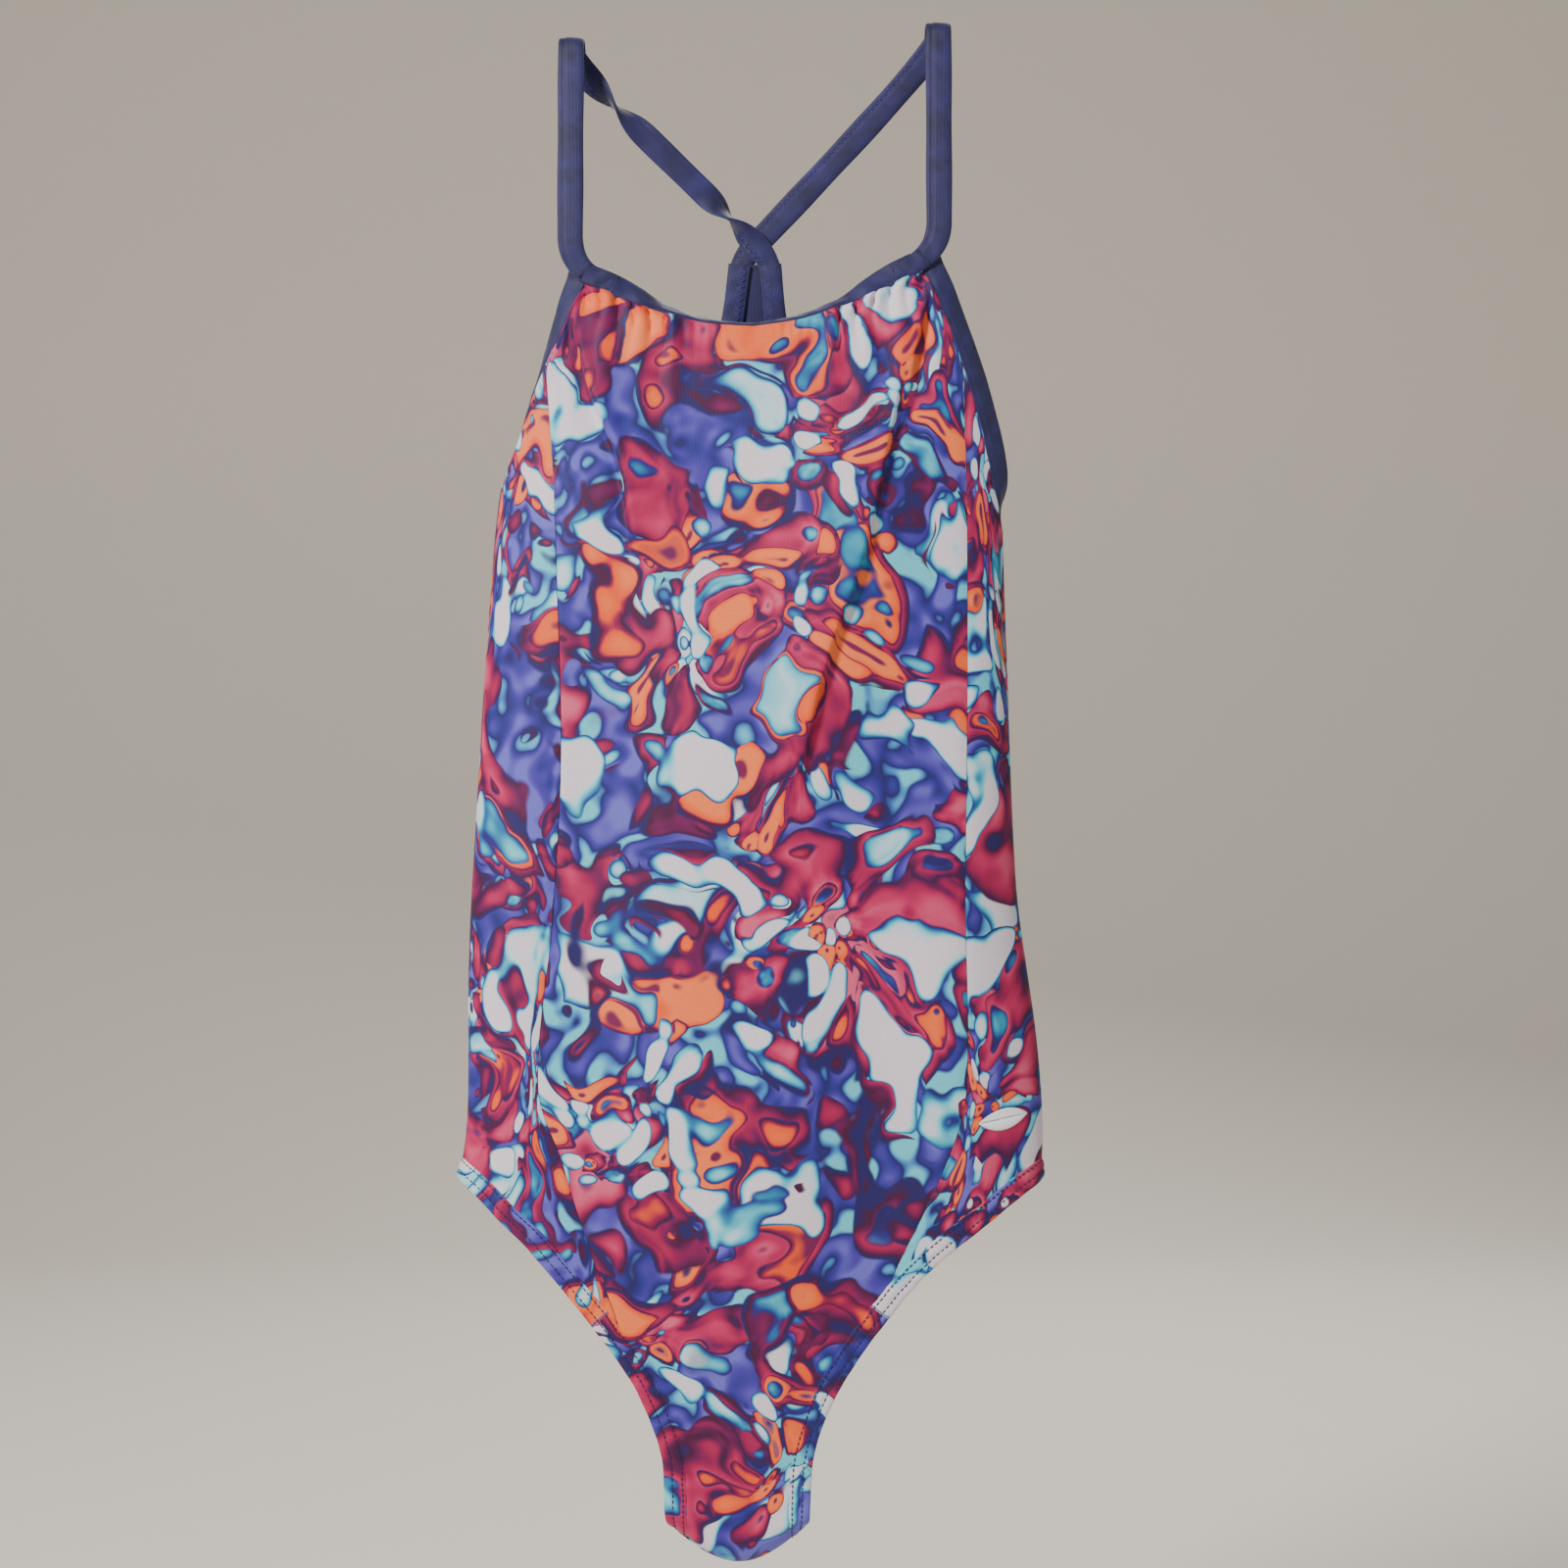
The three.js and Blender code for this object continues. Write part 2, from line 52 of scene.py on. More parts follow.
# %% [markdown]
# ## Camera and light
# The suit is seen straight on from the front. A long lens far away keeps its outline flat, as such goods are
# usually shown. One large soft light from the upper left gives the folds their shape, and a weaker one
# from the right keeps their shadows open.

# %% Camera
camera_data = bpy.data.cameras.new("camera")
camera_data.lens = 65
camera_data.sensor_width = 36
camera = bpy.data.objects.new("camera", camera_data)
camera.location = (0.0135, -1.315, -0.3475)
camera.rotation_euler = (math.radians(90), 0, 0)
bpy.context.scene.collection.objects.link(camera)
bpy.context.scene.camera = camera


# %% Soft lights
def soft_light(name, place, aim, power, size, tint):
    data = bpy.data.lights.new(name, "AREA")
    data.energy = power
    data.size = size
    data.color = tint
    light = bpy.data.objects.new(name, data)
    light.location = place
    away = np.array(place) - np.array(aim)
    light.rotation_euler = (
        math.atan2(math.hypot(away[0], away[1]), away[2]),
        0,
        math.atan2(away[1], away[0]) + math.pi / 2,
    )
    bpy.context.scene.collection.objects.link(light)


MIDDLE = (0, 0, -0.36)
soft_light("light_left", (-1.3, -1.5, 0.75), MIDDLE, 78, 0.5, (1.0, 0.975, 0.94))
soft_light("light_right", (1.6, -1.4, 0.1), MIDDLE, 8, 1.4, (0.93, 0.96, 1.0))
soft_light("light_back", (0.5, 1.8, 0.8), MIDDLE, 30, 1.3, (1.0, 0.99, 0.97))
world = bpy.data.worlds.new("room")
bpy.context.scene.world = world
world.use_nodes = True
world.node_tree.nodes["Background"].inputs["Color"].default_value = (0.50, 0.49, 0.465, 1)
world.node_tree.nodes["Background"].inputs["Strength"].default_value = 0.5

# %% [markdown]
# ## Recipes for materials
# Each finish is a small recipe of nodes. A few short helpers keep the recipes readable: one plugs a value or
# a wire into a socket, and the others add the usual nodes.


# %% Node helpers
def linear(r, g, b):
    """A screen colour of 0 to 255 as the linear colour that nodes use."""
    return [((c / 255 + 0.055) / 1.055) ** 2.4 if c > 10 else c / 3295 for c in (r, g, b)] + [1]


def plug(tree, value, socket):
    if isinstance(value, bpy.types.NodeSocket):
        tree.links.new(value, socket)
    else:
        socket.default_value = value


def add_node(tree, kind, values, **settings):
    made = tree.nodes.new(kind)
    for key, value in settings.items():
        setattr(made, key, value)
    for key, value in values.items():
        plug(tree, value, made.inputs[key])
    return made


def sums(tree, operation, *values):
    return add_node(tree, "ShaderNodeMath", dict(enumerate(values)), operation=operation).outputs[0]


def vectors(tree, operation, *values, out="Vector"):
    made = add_node(tree, "ShaderNodeVectorMath", dict(enumerate(values)), operation=operation)
    return made.outputs[out]


def noise(tree, vector, scale, detail=1.0, rough=0.5, out="Fac"):
    values = {"Vector": vector, "Scale": scale, "Detail": detail, "Roughness": rough}
    return add_node(tree, "ShaderNodeTexNoise", values).outputs[out]


def ramp(tree, fac, stops, ease="LINEAR"):
    """A colour for each value of fac, from stops of (value, colour)."""
    made = add_node(tree, "ShaderNodeValToRGB", {"Fac": fac})
    made.color_ramp.interpolation = ease
    points = made.color_ramp.elements
    while len(points) < len(stops):
        points.new(1.0)
    for point, (place, color) in zip(points, stops):
        point.position = place
        point.color = color
    return made.outputs["Color"]


def window(tree, fac, low, high):
    """0 below low and 1 above high, with a smooth step between."""
    values = {"Value": fac, "From Min": low, "From Max": high}
    made = add_node(tree, "ShaderNodeMapRange", values, interpolation_type="SMOOTHSTEP")
    return made.outputs["Result"]


def mix(tree, fac, a, b, blend="MIX"):
    made = add_node(tree, "ShaderNodeMix", {0: fac, 6: a, 7: b}, data_type="RGBA", blend_type=blend)
    return made.outputs[2]


def new_material(name, roughness, sheen=0.0, specular=0.35):
    material = bpy.data.materials.new(name)
    material.use_nodes = True
    tree = material.node_tree
    surface = tree.nodes["Principled BSDF"]
    surface.inputs["Roughness"].default_value = roughness
    surface.inputs["Sheen Weight"].default_value = sheen
    surface.inputs["Sheen Roughness"].default_value = 0.45
    surface.inputs["Specular IOR Level"].default_value = specular
    cloth_map = tree.nodes.new("ShaderNodeUVMap").outputs[0]
    return material, tree, surface, cloth_map


def add_bump(tree, surface, height, distance, strength):
    values = {"Height": height, "Distance": distance, "Strength": strength}
    made = add_node(tree, "ShaderNodeBump", values)
    tree.links.new(made.outputs["Normal"], surface.inputs["Normal"])


# %% [markdown]
# ### Knit
# Swimwear knit has fine upright columns of loops, about 0.6 mm apart. The cloth map is in units of 100 mm, so
# stretching a noise along each column gives loops at their real size, and the same field gives the bump
# and the grain in the colour.


# %% Knit grain
def knit(tree, cloth_map, columns=160, loops=110):
    """A field from 0 to 1 that follows the loops of the knit."""
    scaled = vectors(tree, "MULTIPLY", cloth_map, (columns, loops, 0))
    apart = add_node(tree, "ShaderNodeSeparateXYZ", {0: scaled})
    rib = sums(tree, "ABSOLUTE", sums(tree, "SINE", sums(tree, "MULTIPLY", apart.outputs[0], math.pi)))
    loop = noise(tree, scaled, 1.0, 1.0)
    return sums(tree, "ADD", sums(tree, "MULTIPLY", rib, 0.5), sums(tree, "MULTIPLY", loop, 0.5))


def grain(tree, cloth_map, color, amount=0.16):
    field = knit(tree, cloth_map)
    mottle = noise(tree, cloth_map, 55, 3.0, 0.65)
    both = sums(tree, "ADD", sums(tree, "MULTIPLY", field, 0.45), sums(tree, "MULTIPLY", mottle, 0.75))
    low, high = 1 - amount, 1 + amount
    shade = ramp(tree, both, [(0.25, (low, low, low, 1)), (0.85, (1, 1, 1, 1))])
    return mix(tree, 1.0, color, shade, "MULTIPLY"), field


# %% [markdown]
# ### The print
# The cloth has a free floral print in the manner of a dye print: scattered rosettes, from which petals of white,
# crimson and orange spread out, small at the centre and longer further away. A painter would lay it in
# layers, and so does the recipe. Round each centre the cloth map is bent, with the direction to the centre
# as one measure and the logarithm of the distance as another, and soft cells in that bent space are the
# petals. Each petal draws its own chance values: a high first one makes it white with a cool halo and a fine
# dark outline, a high second one orange with a slit in its middle, and a high third one red.

# %% Print colours
INK = {
    "outline": linear(32, 22, 88),
    "indigo": linear(38, 38, 128),
    "violet": linear(66, 50, 152),
    "periwinkle": linear(96, 92, 186),
    "blue": linear(52, 104, 176),
    "teal": linear(24, 128, 168),
    "cyan": linear(96, 192, 212),
    "pale": linear(176, 208, 222),
    "lilac": linear(214, 203, 216),
    "wine": linear(66, 4, 50),
    "plum": linear(98, 8, 74),
    "crimson": linear(146, 12, 70),
    "pink": linear(184, 34, 88),
    "rose": linear(206, 84, 116),
    "orange": linear(228, 78, 28),
    "salmon": linear(240, 116, 62),
    "core": linear(110, 16, 72),
}


# %% Bend the cloth map round the rosettes
def scaled(tree, vector, by):
    made = add_node(tree, "ShaderNodeVectorMath", {0: vector}, operation="SCALE")
    tree.links.new(by, made.inputs["Scale"])
    return made.outputs[0]


def bent_map(tree, place, spacing, petals_round=2.4, rings=1.35):
    """The map bent round the nearest centre, and how deep inside that centre's share of the cloth it is."""
    values = {"Vector": place, "Scale": 1 / spacing, "Randomness": 0.72}
    near = add_node(tree, "ShaderNodeTexVoronoi", values, voronoi_dimensions="2D", feature="F1")
    rim = add_node(tree, "ShaderNodeTexVoronoi", values, voronoi_dimensions="2D", feature="DISTANCE_TO_EDGE")
    local = vectors(tree, "SUBTRACT", place, near.outputs["Position"])
    length = vectors(tree, "LENGTH", local, out="Value")
    far = sums(tree, "LOGARITHM", sums(tree, "ADD", length, 0.11), math.e)
    outward = add_node(tree, "ShaderNodeCombineXYZ", {"Z": sums(tree, "MULTIPLY", far, rings)}).outputs[0]
    spread = sums(tree, "MULTIPLY", window(tree, length, -0.05, 0.36), petals_round)
    around = scaled(tree, vectors(tree, "NORMALIZE", local), spread)
    start = vectors(tree, "MULTIPLY", near.outputs["Color"], (40.0, 40.0, 40.0))
    bent = vectors(tree, "ADD", vectors(tree, "ADD", around, outward), start)
    return bent, rim.outputs["Distance"]


# %% Paint one layer of rosettes
def rosettes(tree, place, ripple, spacing, below):
    """Petals over the colour below. Towards the edge of its share of the cloth each petal closes."""
    bent, depth = bent_map(tree, place, spacing)
    bent = vectors(tree, "ADD", bent, ripple)
    values = {"Vector": bent, "Scale": 1.0, "Smoothness": 0.45, "Randomness": 0.8}
    petal = add_node(tree, "ShaderNodeTexVoronoi", values, voronoi_dimensions="3D", feature="SMOOTH_F1")
    chances = add_node(tree, "ShaderNodeSeparateXYZ", {0: petal.outputs["Color"]}).outputs
    open_here = window(tree, depth, 0.0, 0.13)
    open_here = sums(tree, "MULTIPLY", open_here, window(tree, petal.outputs["Distance"], 0.88, 0.24))
    white = sums(tree, "MULTIPLY", chances[0], open_here)
    open_here = sums(tree, "MULTIPLY", open_here, window(tree, chances[0], 0.68, 0.57))
    orange, red = (sums(tree, "MULTIPLY", chance, open_here) for chance in chances[1:])
    streaks = noise(tree, vectors(tree, "MULTIPLY", bent, (2.6, 2.6, 0.5)), 1.0, 1.0)
    soft = sums(tree, "MULTIPLY", sums(tree, "SUBTRACT", streaks, 0.5), 0.5)

    reds = [(0.14, "outline"), (0.19, "wine"), (0.26, "plum"), (0.34, "crimson"), (0.52, "pink"), (0.80, "rose")]
    reds = ramp(tree, sums(tree, "ADD", red, soft), [(at, INK[ink]) for at, ink in reds])
    color = mix(tree, window(tree, red, 0.10, 0.15), below, reds)

    warm = [(0.42, "outline"), (0.45, "wine"), (0.49, "crimson"), (0.53, "orange"), (0.74, "salmon")]
    warmth = sums(tree, "ADD", orange, sums(tree, "MULTIPLY", soft, 0.3))
    warm = ramp(tree, warmth, [(at, INK[ink]) for at, ink in warm])
    away = vectors(tree, "SUBTRACT", bent, petal.outputs["Position"])
    across = vectors(tree, "LENGTH", vectors(tree, "MULTIPLY", away, (1.0, 1.0, 0.28)), out="Value")
    warm = mix(tree, window(tree, across, 0.17, 0.08), warm, INK["core"])
    color = mix(tree, window(tree, orange, 0.40, 0.44), color, warm)

    cool = [(0.41, "outline"), (0.44, "indigo"), (0.49, "teal"), (0.55, "cyan"), (0.61, "pale"), (0.68, "lilac")]
    coolness = sums(tree, "ADD", white, sums(tree, "MULTIPLY", soft, 0.35))
    cool = ramp(tree, coolness, [(at, INK[ink]) for at, ink in cool])
    return mix(tree, window(tree, white, 0.385, 0.43), color, cool)


# %% Lay the colours
def printed_knit(name):
    material, tree, surface, cloth_map = new_material(name, 0.62, sheen=0.12, specular=0.3)
    swirl = vectors(tree, "SUBTRACT", noise(tree, cloth_map, 2.2, 0.0, 0.5, "Color"), (0.5, 0.5, 0.5))
    place = vectors(tree, "ADD", cloth_map, vectors(tree, "MULTIPLY", swirl, (0.55, 0.55, 0)))
    ripple = vectors(tree, "SUBTRACT", noise(tree, cloth_map, 5.5, 0.0, 0.5, "Color"), (0.5, 0.5, 0.5))
    pool = noise(tree, vectors(tree, "ADD", place, ripple), 2.3, 0.0)
    pools = [(0.30, "periwinkle"), (0.42, "violet"), (0.5, "indigo")]
    pools += [(0.56, "outline"), (0.6, "blue"), (0.68, "cyan")]
    color = ramp(tree, pool, [(at, INK[ink]) for at, ink in pools])
    for shift, spacing in [((7.3, 2.9, 0), 1.6), ((1.6, 11.2, 0), 1.5)]:
        color = rosettes(tree, vectors(tree, "ADD", place, shift), ripple, spacing, color)
    color, field = grain(tree, cloth_map, color)
    tree.links.new(color, surface.inputs["Base Color"])
    add_bump(tree, surface, field, 0.0002, 0.35)
    return material


# %% [markdown]
# ### Plain finishes
# The navy binding is the same kind of knit in one colour, mottled at random between a darker and a lighter navy.
# Thread, elastic and satin are each a twisted, ribbed or woven pattern at its own fine scale.


# %% Plain finishes
def plain_knit(name, dark, bright, roughness=0.6, sheen=0.25):
    material, tree, surface, cloth_map = new_material(name, roughness, sheen)
    # random patches of a darker and a lighter navy, placed by noise and not by the folds
    tone_noise = noise(tree, cloth_map, 7, 3.0, 0.6)
    color = ramp(tree, tone_noise, [(0.35, linear(*dark)), (0.68, linear(*bright))])
    color, field = grain(tree, cloth_map, color, 0.22)
    tree.links.new(color, surface.inputs["Base Color"])
    add_bump(tree, surface, field, 0.00025, 0.5)
    return material


def ribbed(name, dark, bright, count, roughness, along=0, specular=0.35):
    """A finish with fine ribs, count of them in 100 mm."""
    material, tree, surface, cloth_map = new_material(name, roughness, 0.1, specular)
    apart = add_node(tree, "ShaderNodeSeparateXYZ", {0: cloth_map})
    turns = sums(tree, "MULTIPLY", apart.outputs[along], count * math.pi)
    rib = sums(tree, "ABSOLUTE", sums(tree, "SINE", turns))
    uneven = noise(tree, cloth_map, count * 0.3, 2.0)
    field = sums(tree, "ADD", sums(tree, "MULTIPLY", rib, 0.7), sums(tree, "MULTIPLY", uneven, 0.3))
    color = ramp(tree, field, [(0.15, linear(*dark)), (0.75, linear(*bright))])
    tree.links.new(color, surface.inputs["Base Color"])
    add_bump(tree, surface, field, 0.0002, 0.6)
    return material


PRINT = printed_knit("printed_knit")
NAVY = plain_knit("navy_knit", (22, 20, 60), (35, 33, 92))
LINING = plain_knit("lining_knit", (26, 26, 62), (38, 38, 84), 0.75, 0.15)
ELASTIC = ribbed("swim_elastic", (190, 184, 170), (232, 228, 216), 90, 0.6)
NAVY_THREAD = ribbed("navy_thread", (34, 32, 90), (76, 72, 152), 300, 0.5)
DARK_THREAD = ribbed("hem_thread", (14, 12, 40), (36, 32, 82), 300, 0.5)
WHITE_THREAD = ribbed("white_thread", (206, 206, 214), (246, 246, 250), 220, 0.42, specular=0.5)
SATIN = ribbed("label_satin", (214, 214, 216), (242, 242, 240), 260, 0.35, specular=0.6)
print("materials:", len(bpy.data.materials))

# %% [markdown]
# ## The cut of the suit
# The suit hangs as a flattened tube. Its outline is given by a few smooth lines: half its width and depth at
# each height, the neckline, the armholes, the leg openings and the two seams of the front. All are in
# millimetres from the straps' resting place, and the meshes are made in metres at the end.

# %% Sizes
MM = 0.001
CLOTH = 0.7  # thickness of one layer of knit
CORNER_X, CORNER_Z = 78.5, -113
NECK_Z = -143.8
UNDERARM_Z = -231
YOKE_TOP, YOKE_SEAM = -104, -165
WAIST_ROW = -300
HIP_Z = -521
GUSSET_Z = -604
FOLD_Z, FOLD_RADIUS = -697, 11
CLOTH_END = FOLD_Z - FOLD_RADIUS * math.pi / 2
SEAM_GAP = 0.24
STRAP_X, STRAP_TILT = 85, 7
REST_RADIUS = 5
CROSS_Z, CROSS_DEPTH = -97, 13
BAND = 2.5  # thickness of a folded band
BAND_WIDTH = 9
STRAP_WIDTH = 12
FRONT, BACK = -1, 1


# %% Smooth lines
def through(*points):
    """A smooth line through points that never overshoots, as a function of the first number."""
    at, value = np.array(sorted(points), float).T
    rise = np.diff(value) / np.diff(at)
    before, after = np.r_[rise[0], rise], np.r_[rise, rise[-1]]
    same = before * after > 0
    slope = np.where(same, 2 * before * after / np.where(same, before + after, 1), 0)

    def line(x):
        x = np.clip(x, at[0], at[-1])
        i = np.clip(np.searchsorted(at, x) - 1, 0, len(at) - 2)
        span = at[i + 1] - at[i]
        t = (x - at[i]) / span
        bend = slope[i] * t * (1 - t) ** 2 - slope[i + 1] * t * t * (1 - t)
        return value[i] + (value[i + 1] - value[i]) * t * t * (3 - 2 * t) + span * bend

    return line


def smooth(x, low, high):
    t = np.clip((x - low) / (high - low), 0, 1)
    return t * t * (3 - 2 * t)


def lerp(a, b, t):
    return a + (b - a) * t


# %% Outlines
half_width = through(
    (0, 112), (-220, 117.5), (-300, 121.5), (-390, 126), (-460, 131.6), (HIP_Z, 134.5), (-545, 136.5), (-720, 136.5)
)
half_depth = through(
    (0, 12), (-100, CROSS_DEPTH), (-140, 16), (-220, 24), (-300, 27), (-460, 27), (-540, 23), (-600, 17), (-690, 9.5)
)
sway = through((-100, 0), (-390, -5), (-500, 0), (-570, -8))
neck_line = through((0, NECK_Z), (20, -140.8), (40, -133.8), (60, -121.8), (CORNER_X, CORNER_Z))
ARM_LINE = np.array(
    [(CORNER_X, CORNER_Z), (88, -141), (94.5, -165), (100.5, -189), (108, -213), (117.6, UNDERARM_Z)], float
)
ARM_SHOWN = {-1: [9, 6.0, 2.8, 1.4, 1.0, 0.8], 1: [9, 8.7, 8.8, 9, 9, 3]}  # of the binding, at those points
ARM_OUT = {-1: [0, 3.2, 6.2, 7.4, 7.8, 0], 1: [0, 3.0, 5.6, 7.2, 5.8, 0]}  # how much further out the cloth reaches
back_arm = through((22, YOKE_SEAM), (40, -190), (62, -209), (85, -221), (104, -228), (117.6, UNDERARM_Z))
yoke_half = through((YOKE_TOP, 3), (-135, 7), (YOKE_SEAM, 22))
leg_edge = through(
    (HIP_Z, 134.5), (-530, 121), (-543, 106), (-555, 91.8), (-574, 74), (-588, 62.5), (-604, 50.5), (-626, 36.8),
    (-650, 28.1), (-669, 25.4), (CLOTH_END, 24.3)
)
left_seam = through(
    (-150, -95.5), (-240, -87.5), (-330, -84), (-400, -87), (-487, -99), (-525, -85.5), (-592, -56), (-640, -44)
)
right_seam = through(
    (-150, 97), (-240, 101), (-330, 102), (-400, 101), (-487, 97), (-525, 88), (-562, 76), (-600, 62)
)
band_shown = through((0, 2.6), (35, 4.2), (55, 7.8), (65, 8.8), (CORNER_X, BAND_WIDTH))


def arm_edge(sign):
    """The cloth reaches further out where the armhole binding rolls inwards."""
    moved = ARM_LINE + np.array(ARM_OUT[sign])[:, None] * (0.95, 0.31)
    return through(*moved.tolist())


front_arm = {sign: arm_edge(sign) for sign in (-1, 1)}


def neck_edge(x):
    """The cloth reaches higher in the middle, where the binding rolls inwards and shows less."""
    return neck_line(x) + BAND_WIDTH - band_shown(x)


def front_top(x):
    side = np.abs(x)
    arm = np.where(x < 0, front_arm[-1](side), front_arm[1](side))
    return np.where(side < CORNER_X, neck_edge(side), arm)


def back_top(x):
    return np.where(np.abs(x) < 22, YOKE_SEAM, back_arm(np.abs(x)))


def leg_or_side(height):
    return np.where(height >= HIP_Z, half_width(height), leg_edge(height))


# %% The hanging tube
def sag(x, height):
    """The crotch hangs lower in its middle than at the leg hems."""
    return 11 * np.minimum(np.abs(x) / 24, 1.3) ** 2 * smooth(-height, 640, -FOLD_Z)


def on_body(x, height, side):
    """The point of the cloth at x across and a height along it. Below the fold it turns under."""
    x, height = np.broadcast_arrays(np.asarray(x, float), np.asarray(height, float))
    turn = np.clip((FOLD_Z - height) / FOLD_RADIUS, 0, math.pi / 2)
    z = np.where(turn > 0, FOLD_Z - FOLD_RADIUS * np.sin(turn), height)
    across = np.clip(np.abs(x) / half_width(height), 0, 1)
    depth = half_depth(height) * np.cos(turn) * np.sqrt(1 - across**2.4)
    tilt = STRAP_TILT * x * smooth(height, -260, -150) / (2 * STRAP_X) + sag(x, height)
    return np.stack([x + sway(height), side * (depth + SEAM_GAP / 2), z + tilt], axis=-1)


def unit(v):
    return v / np.maximum(np.linalg.norm(v, axis=-1, keepdims=True), 1e-12)


def out_of_body(x, height, side, step=0.05):
    across = on_body(x + step, height, side) - on_body(x - step, height, side)
    up = on_body(x, height + step, side) - on_body(x, height - step, side)
    return unit(np.cross(across, up)) * -np.asarray(side, float)[..., None]


# %% [markdown]
# ### Gathers, folds and drape
# A flat tube would look like card. The knit is eased into the elastic under both neckline corners, where it
# puffs in small scallops. A deep fold falls from the left corner, a long crease crosses the right side of
# the chest, and shallow waves run down the body. Each is a height above the plain tube, so the folds are
# real shapes in the mesh and every panel that shares a seam follows the same field.


# %% Relief of the front
def ridge(away, rise, reach, lip):
    """A fold across its line: a steep lip on one side and a long back on the other."""
    back = rise * np.exp(-np.maximum(away, 0) / reach) * (1 - np.exp(-np.maximum(away, 0) / lip))
    under = -0.55 * rise * np.exp(np.minimum(away, 0) / (0.6 * reach))
    under = under * (1 - np.exp(np.minimum(away, 0) / lip))
    return np.where(away > 0, back, under)


corner_fold = through((-110, -89), (-122, -86), (-164, -75), (-193, -62.5), (-215, -56.7), (-262, -50))
chest_crease = through((-150, 72), (-181, 66.6), (-215, 60), (-252, 51.7), (-281, 41.4), (-316, 32.4), (-360, 24))
right_fold = through((-112, 85), (-142, 78), (-190, 70))


def waves(x, height):
    wave = 1.5 * np.sin(x / 19 + 1.3 * np.sin(height / 95) + 0.8)
    wave = wave + 0.7 * np.sin(x / 11 - height / 130 + 2.1) + 0.5 * np.sin((x + height) / 31)
    return wave * smooth(-height, 150, 260) * (1 - 0.6 * smooth(-height, 560, 680))


def seam_dip(x, height, line):
    away = np.abs(x - line)
    return -0.45 * np.exp(-((away / 1.7) ** 2)) + 0.16 * np.sin(height / 1.15) * np.exp(-away / 4)


def front_relief(x, height):
    below = np.maximum(front_top(x) - height, 0)
    side = np.abs(x)
    gather_place = smooth(side, 24, 40) * (1 - smooth(side, 84, 92))
    scallop = np.abs(np.sin(math.pi * (side - 3 + 1.5 * np.sin(below / 6)) / 7.6)) ** 0.6
    lift = gather_place * (4.6 * scallop - 1.6) * np.exp(-below / 11) * smooth(below, -1.5, 3.0)
    small = np.sin(2 * math.pi * side / 4.1 + 1.2) * np.exp(-below / 6) * 0.4 * smooth(below, 0, 2)
    lift = lift + small * smooth(side, 4, 20)
    long_folds = np.sin(side / 2.6 + below / 60) * np.exp(-below / 38) * 1.1 * gather_place
    lift = lift + long_folds
    fold = ridge(x - corner_fold(height), 7.0, 16, 1.0)
    inside = smooth(below, 1, 18)
    lift = lift + fold * inside * smooth(-height, 108, 135) * (1 - smooth(-height, 195, 262))
    fold = ridge(right_fold(height) - x, 4.0, 11, 0.9)
    lift = lift + fold * inside * smooth(-height, 112, 125) * (1 - smooth(-height, 145, 190))
    fold = ridge(chest_crease(height) - x, 3.8, 20, 1.0)
    lift = lift + fold * smooth(-height, 150, 190) * (1 - smooth(-height, 320, 360))
    lift = lift + seam_dip(x, height, left_seam(height)) * (height < -150)
    lift = lift + seam_dip(x, height, right_seam(height)) * (height < -150)
    hem_away = np.maximum(leg_edge(np.minimum(height, HIP_Z)) - side, 0)
    pucker = np.sin(height / 1.9 + x / 5) * np.exp(-hem_away / 9) * 0.4 * (height < HIP_Z)
    side_calm = np.sqrt(np.clip(1 - (side / half_width(height)) ** 4, 0, 1))
    return (lift + waves(x, height) + pucker) * side_calm


def back_relief(x, height):
    below = np.maximum(back_top(x) - height, 0)
    side = np.abs(x)
    lift = 0.8 * np.sin(side / 2.3 + below / 40) * np.exp(-below / 22) * smooth(side, 14, 30)
    lift = lift + seam_dip(x, height, 0 * x)
    lift = lift + 1.4 * np.sin((side - 0.22 * (height + 231)) / 13) * np.exp(-below / 90)
    hem_away = np.maximum(leg_edge(np.minimum(height, HIP_Z)) - side, 0)
    pucker = np.sin(height / 1.9 + x / 5) * np.exp(-hem_away / 9) * 0.4 * (height < HIP_Z)
    side_calm = np.sqrt(np.clip(1 - (side / half_width(height)) ** 4, 0, 1))
    return (lift + waves(-x, height - 60) + pucker) * side_calm


# %% [markdown]
# ## Cloth pieces
# Each panel is cut as a grid that follows its own edges: columns from side to side and rows from its top edge
# down. The grid is closed into a thin sheet, because real cloth has two faces and an edge. The cloth map
# is measured along the cloth, so the print isn't squeezed where the cloth turns away.


# %% Make a mesh
def finish_mesh(name, points, faces, uvs, material, body="garment", angle=60):
    mesh = bpy.data.meshes.new(name)
    mesh.from_pydata((points * MM).tolist(), [], faces.tolist() if hasattr(faces, "tolist") else faces)
    loops = np.zeros(len(mesh.loops), np.int32)
    mesh.loops.foreach_get("vertex_index", loops)
    layer = mesh.uv_layers.new(name="cloth_map")
    layer.data.foreach_set("uv", (uvs[loops] / 100).astype(np.float32).ravel())
    mesh.calc_loop_triangles()
    corners = np.zeros(len(mesh.loop_triangles) * 3, np.int32)
    mesh.loop_triangles.foreach_get("vertices", corners)
    a, b, c = (points[corners[k::3]] for k in range(3))
    if np.einsum("ij,ij->i", np.cross(a, b), c).sum() < 0:
        mesh.flip_normals()
    mesh.shade_smooth()
    mesh.set_sharp_from_angle(angle=math.radians(angle))
    mesh.validate()
    piece = bpy.data.objects.new(name, mesh)
    bpy.context.scene.collection.objects.link(piece)
    piece.data.materials.append(material)
    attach(piece, body)
    return piece


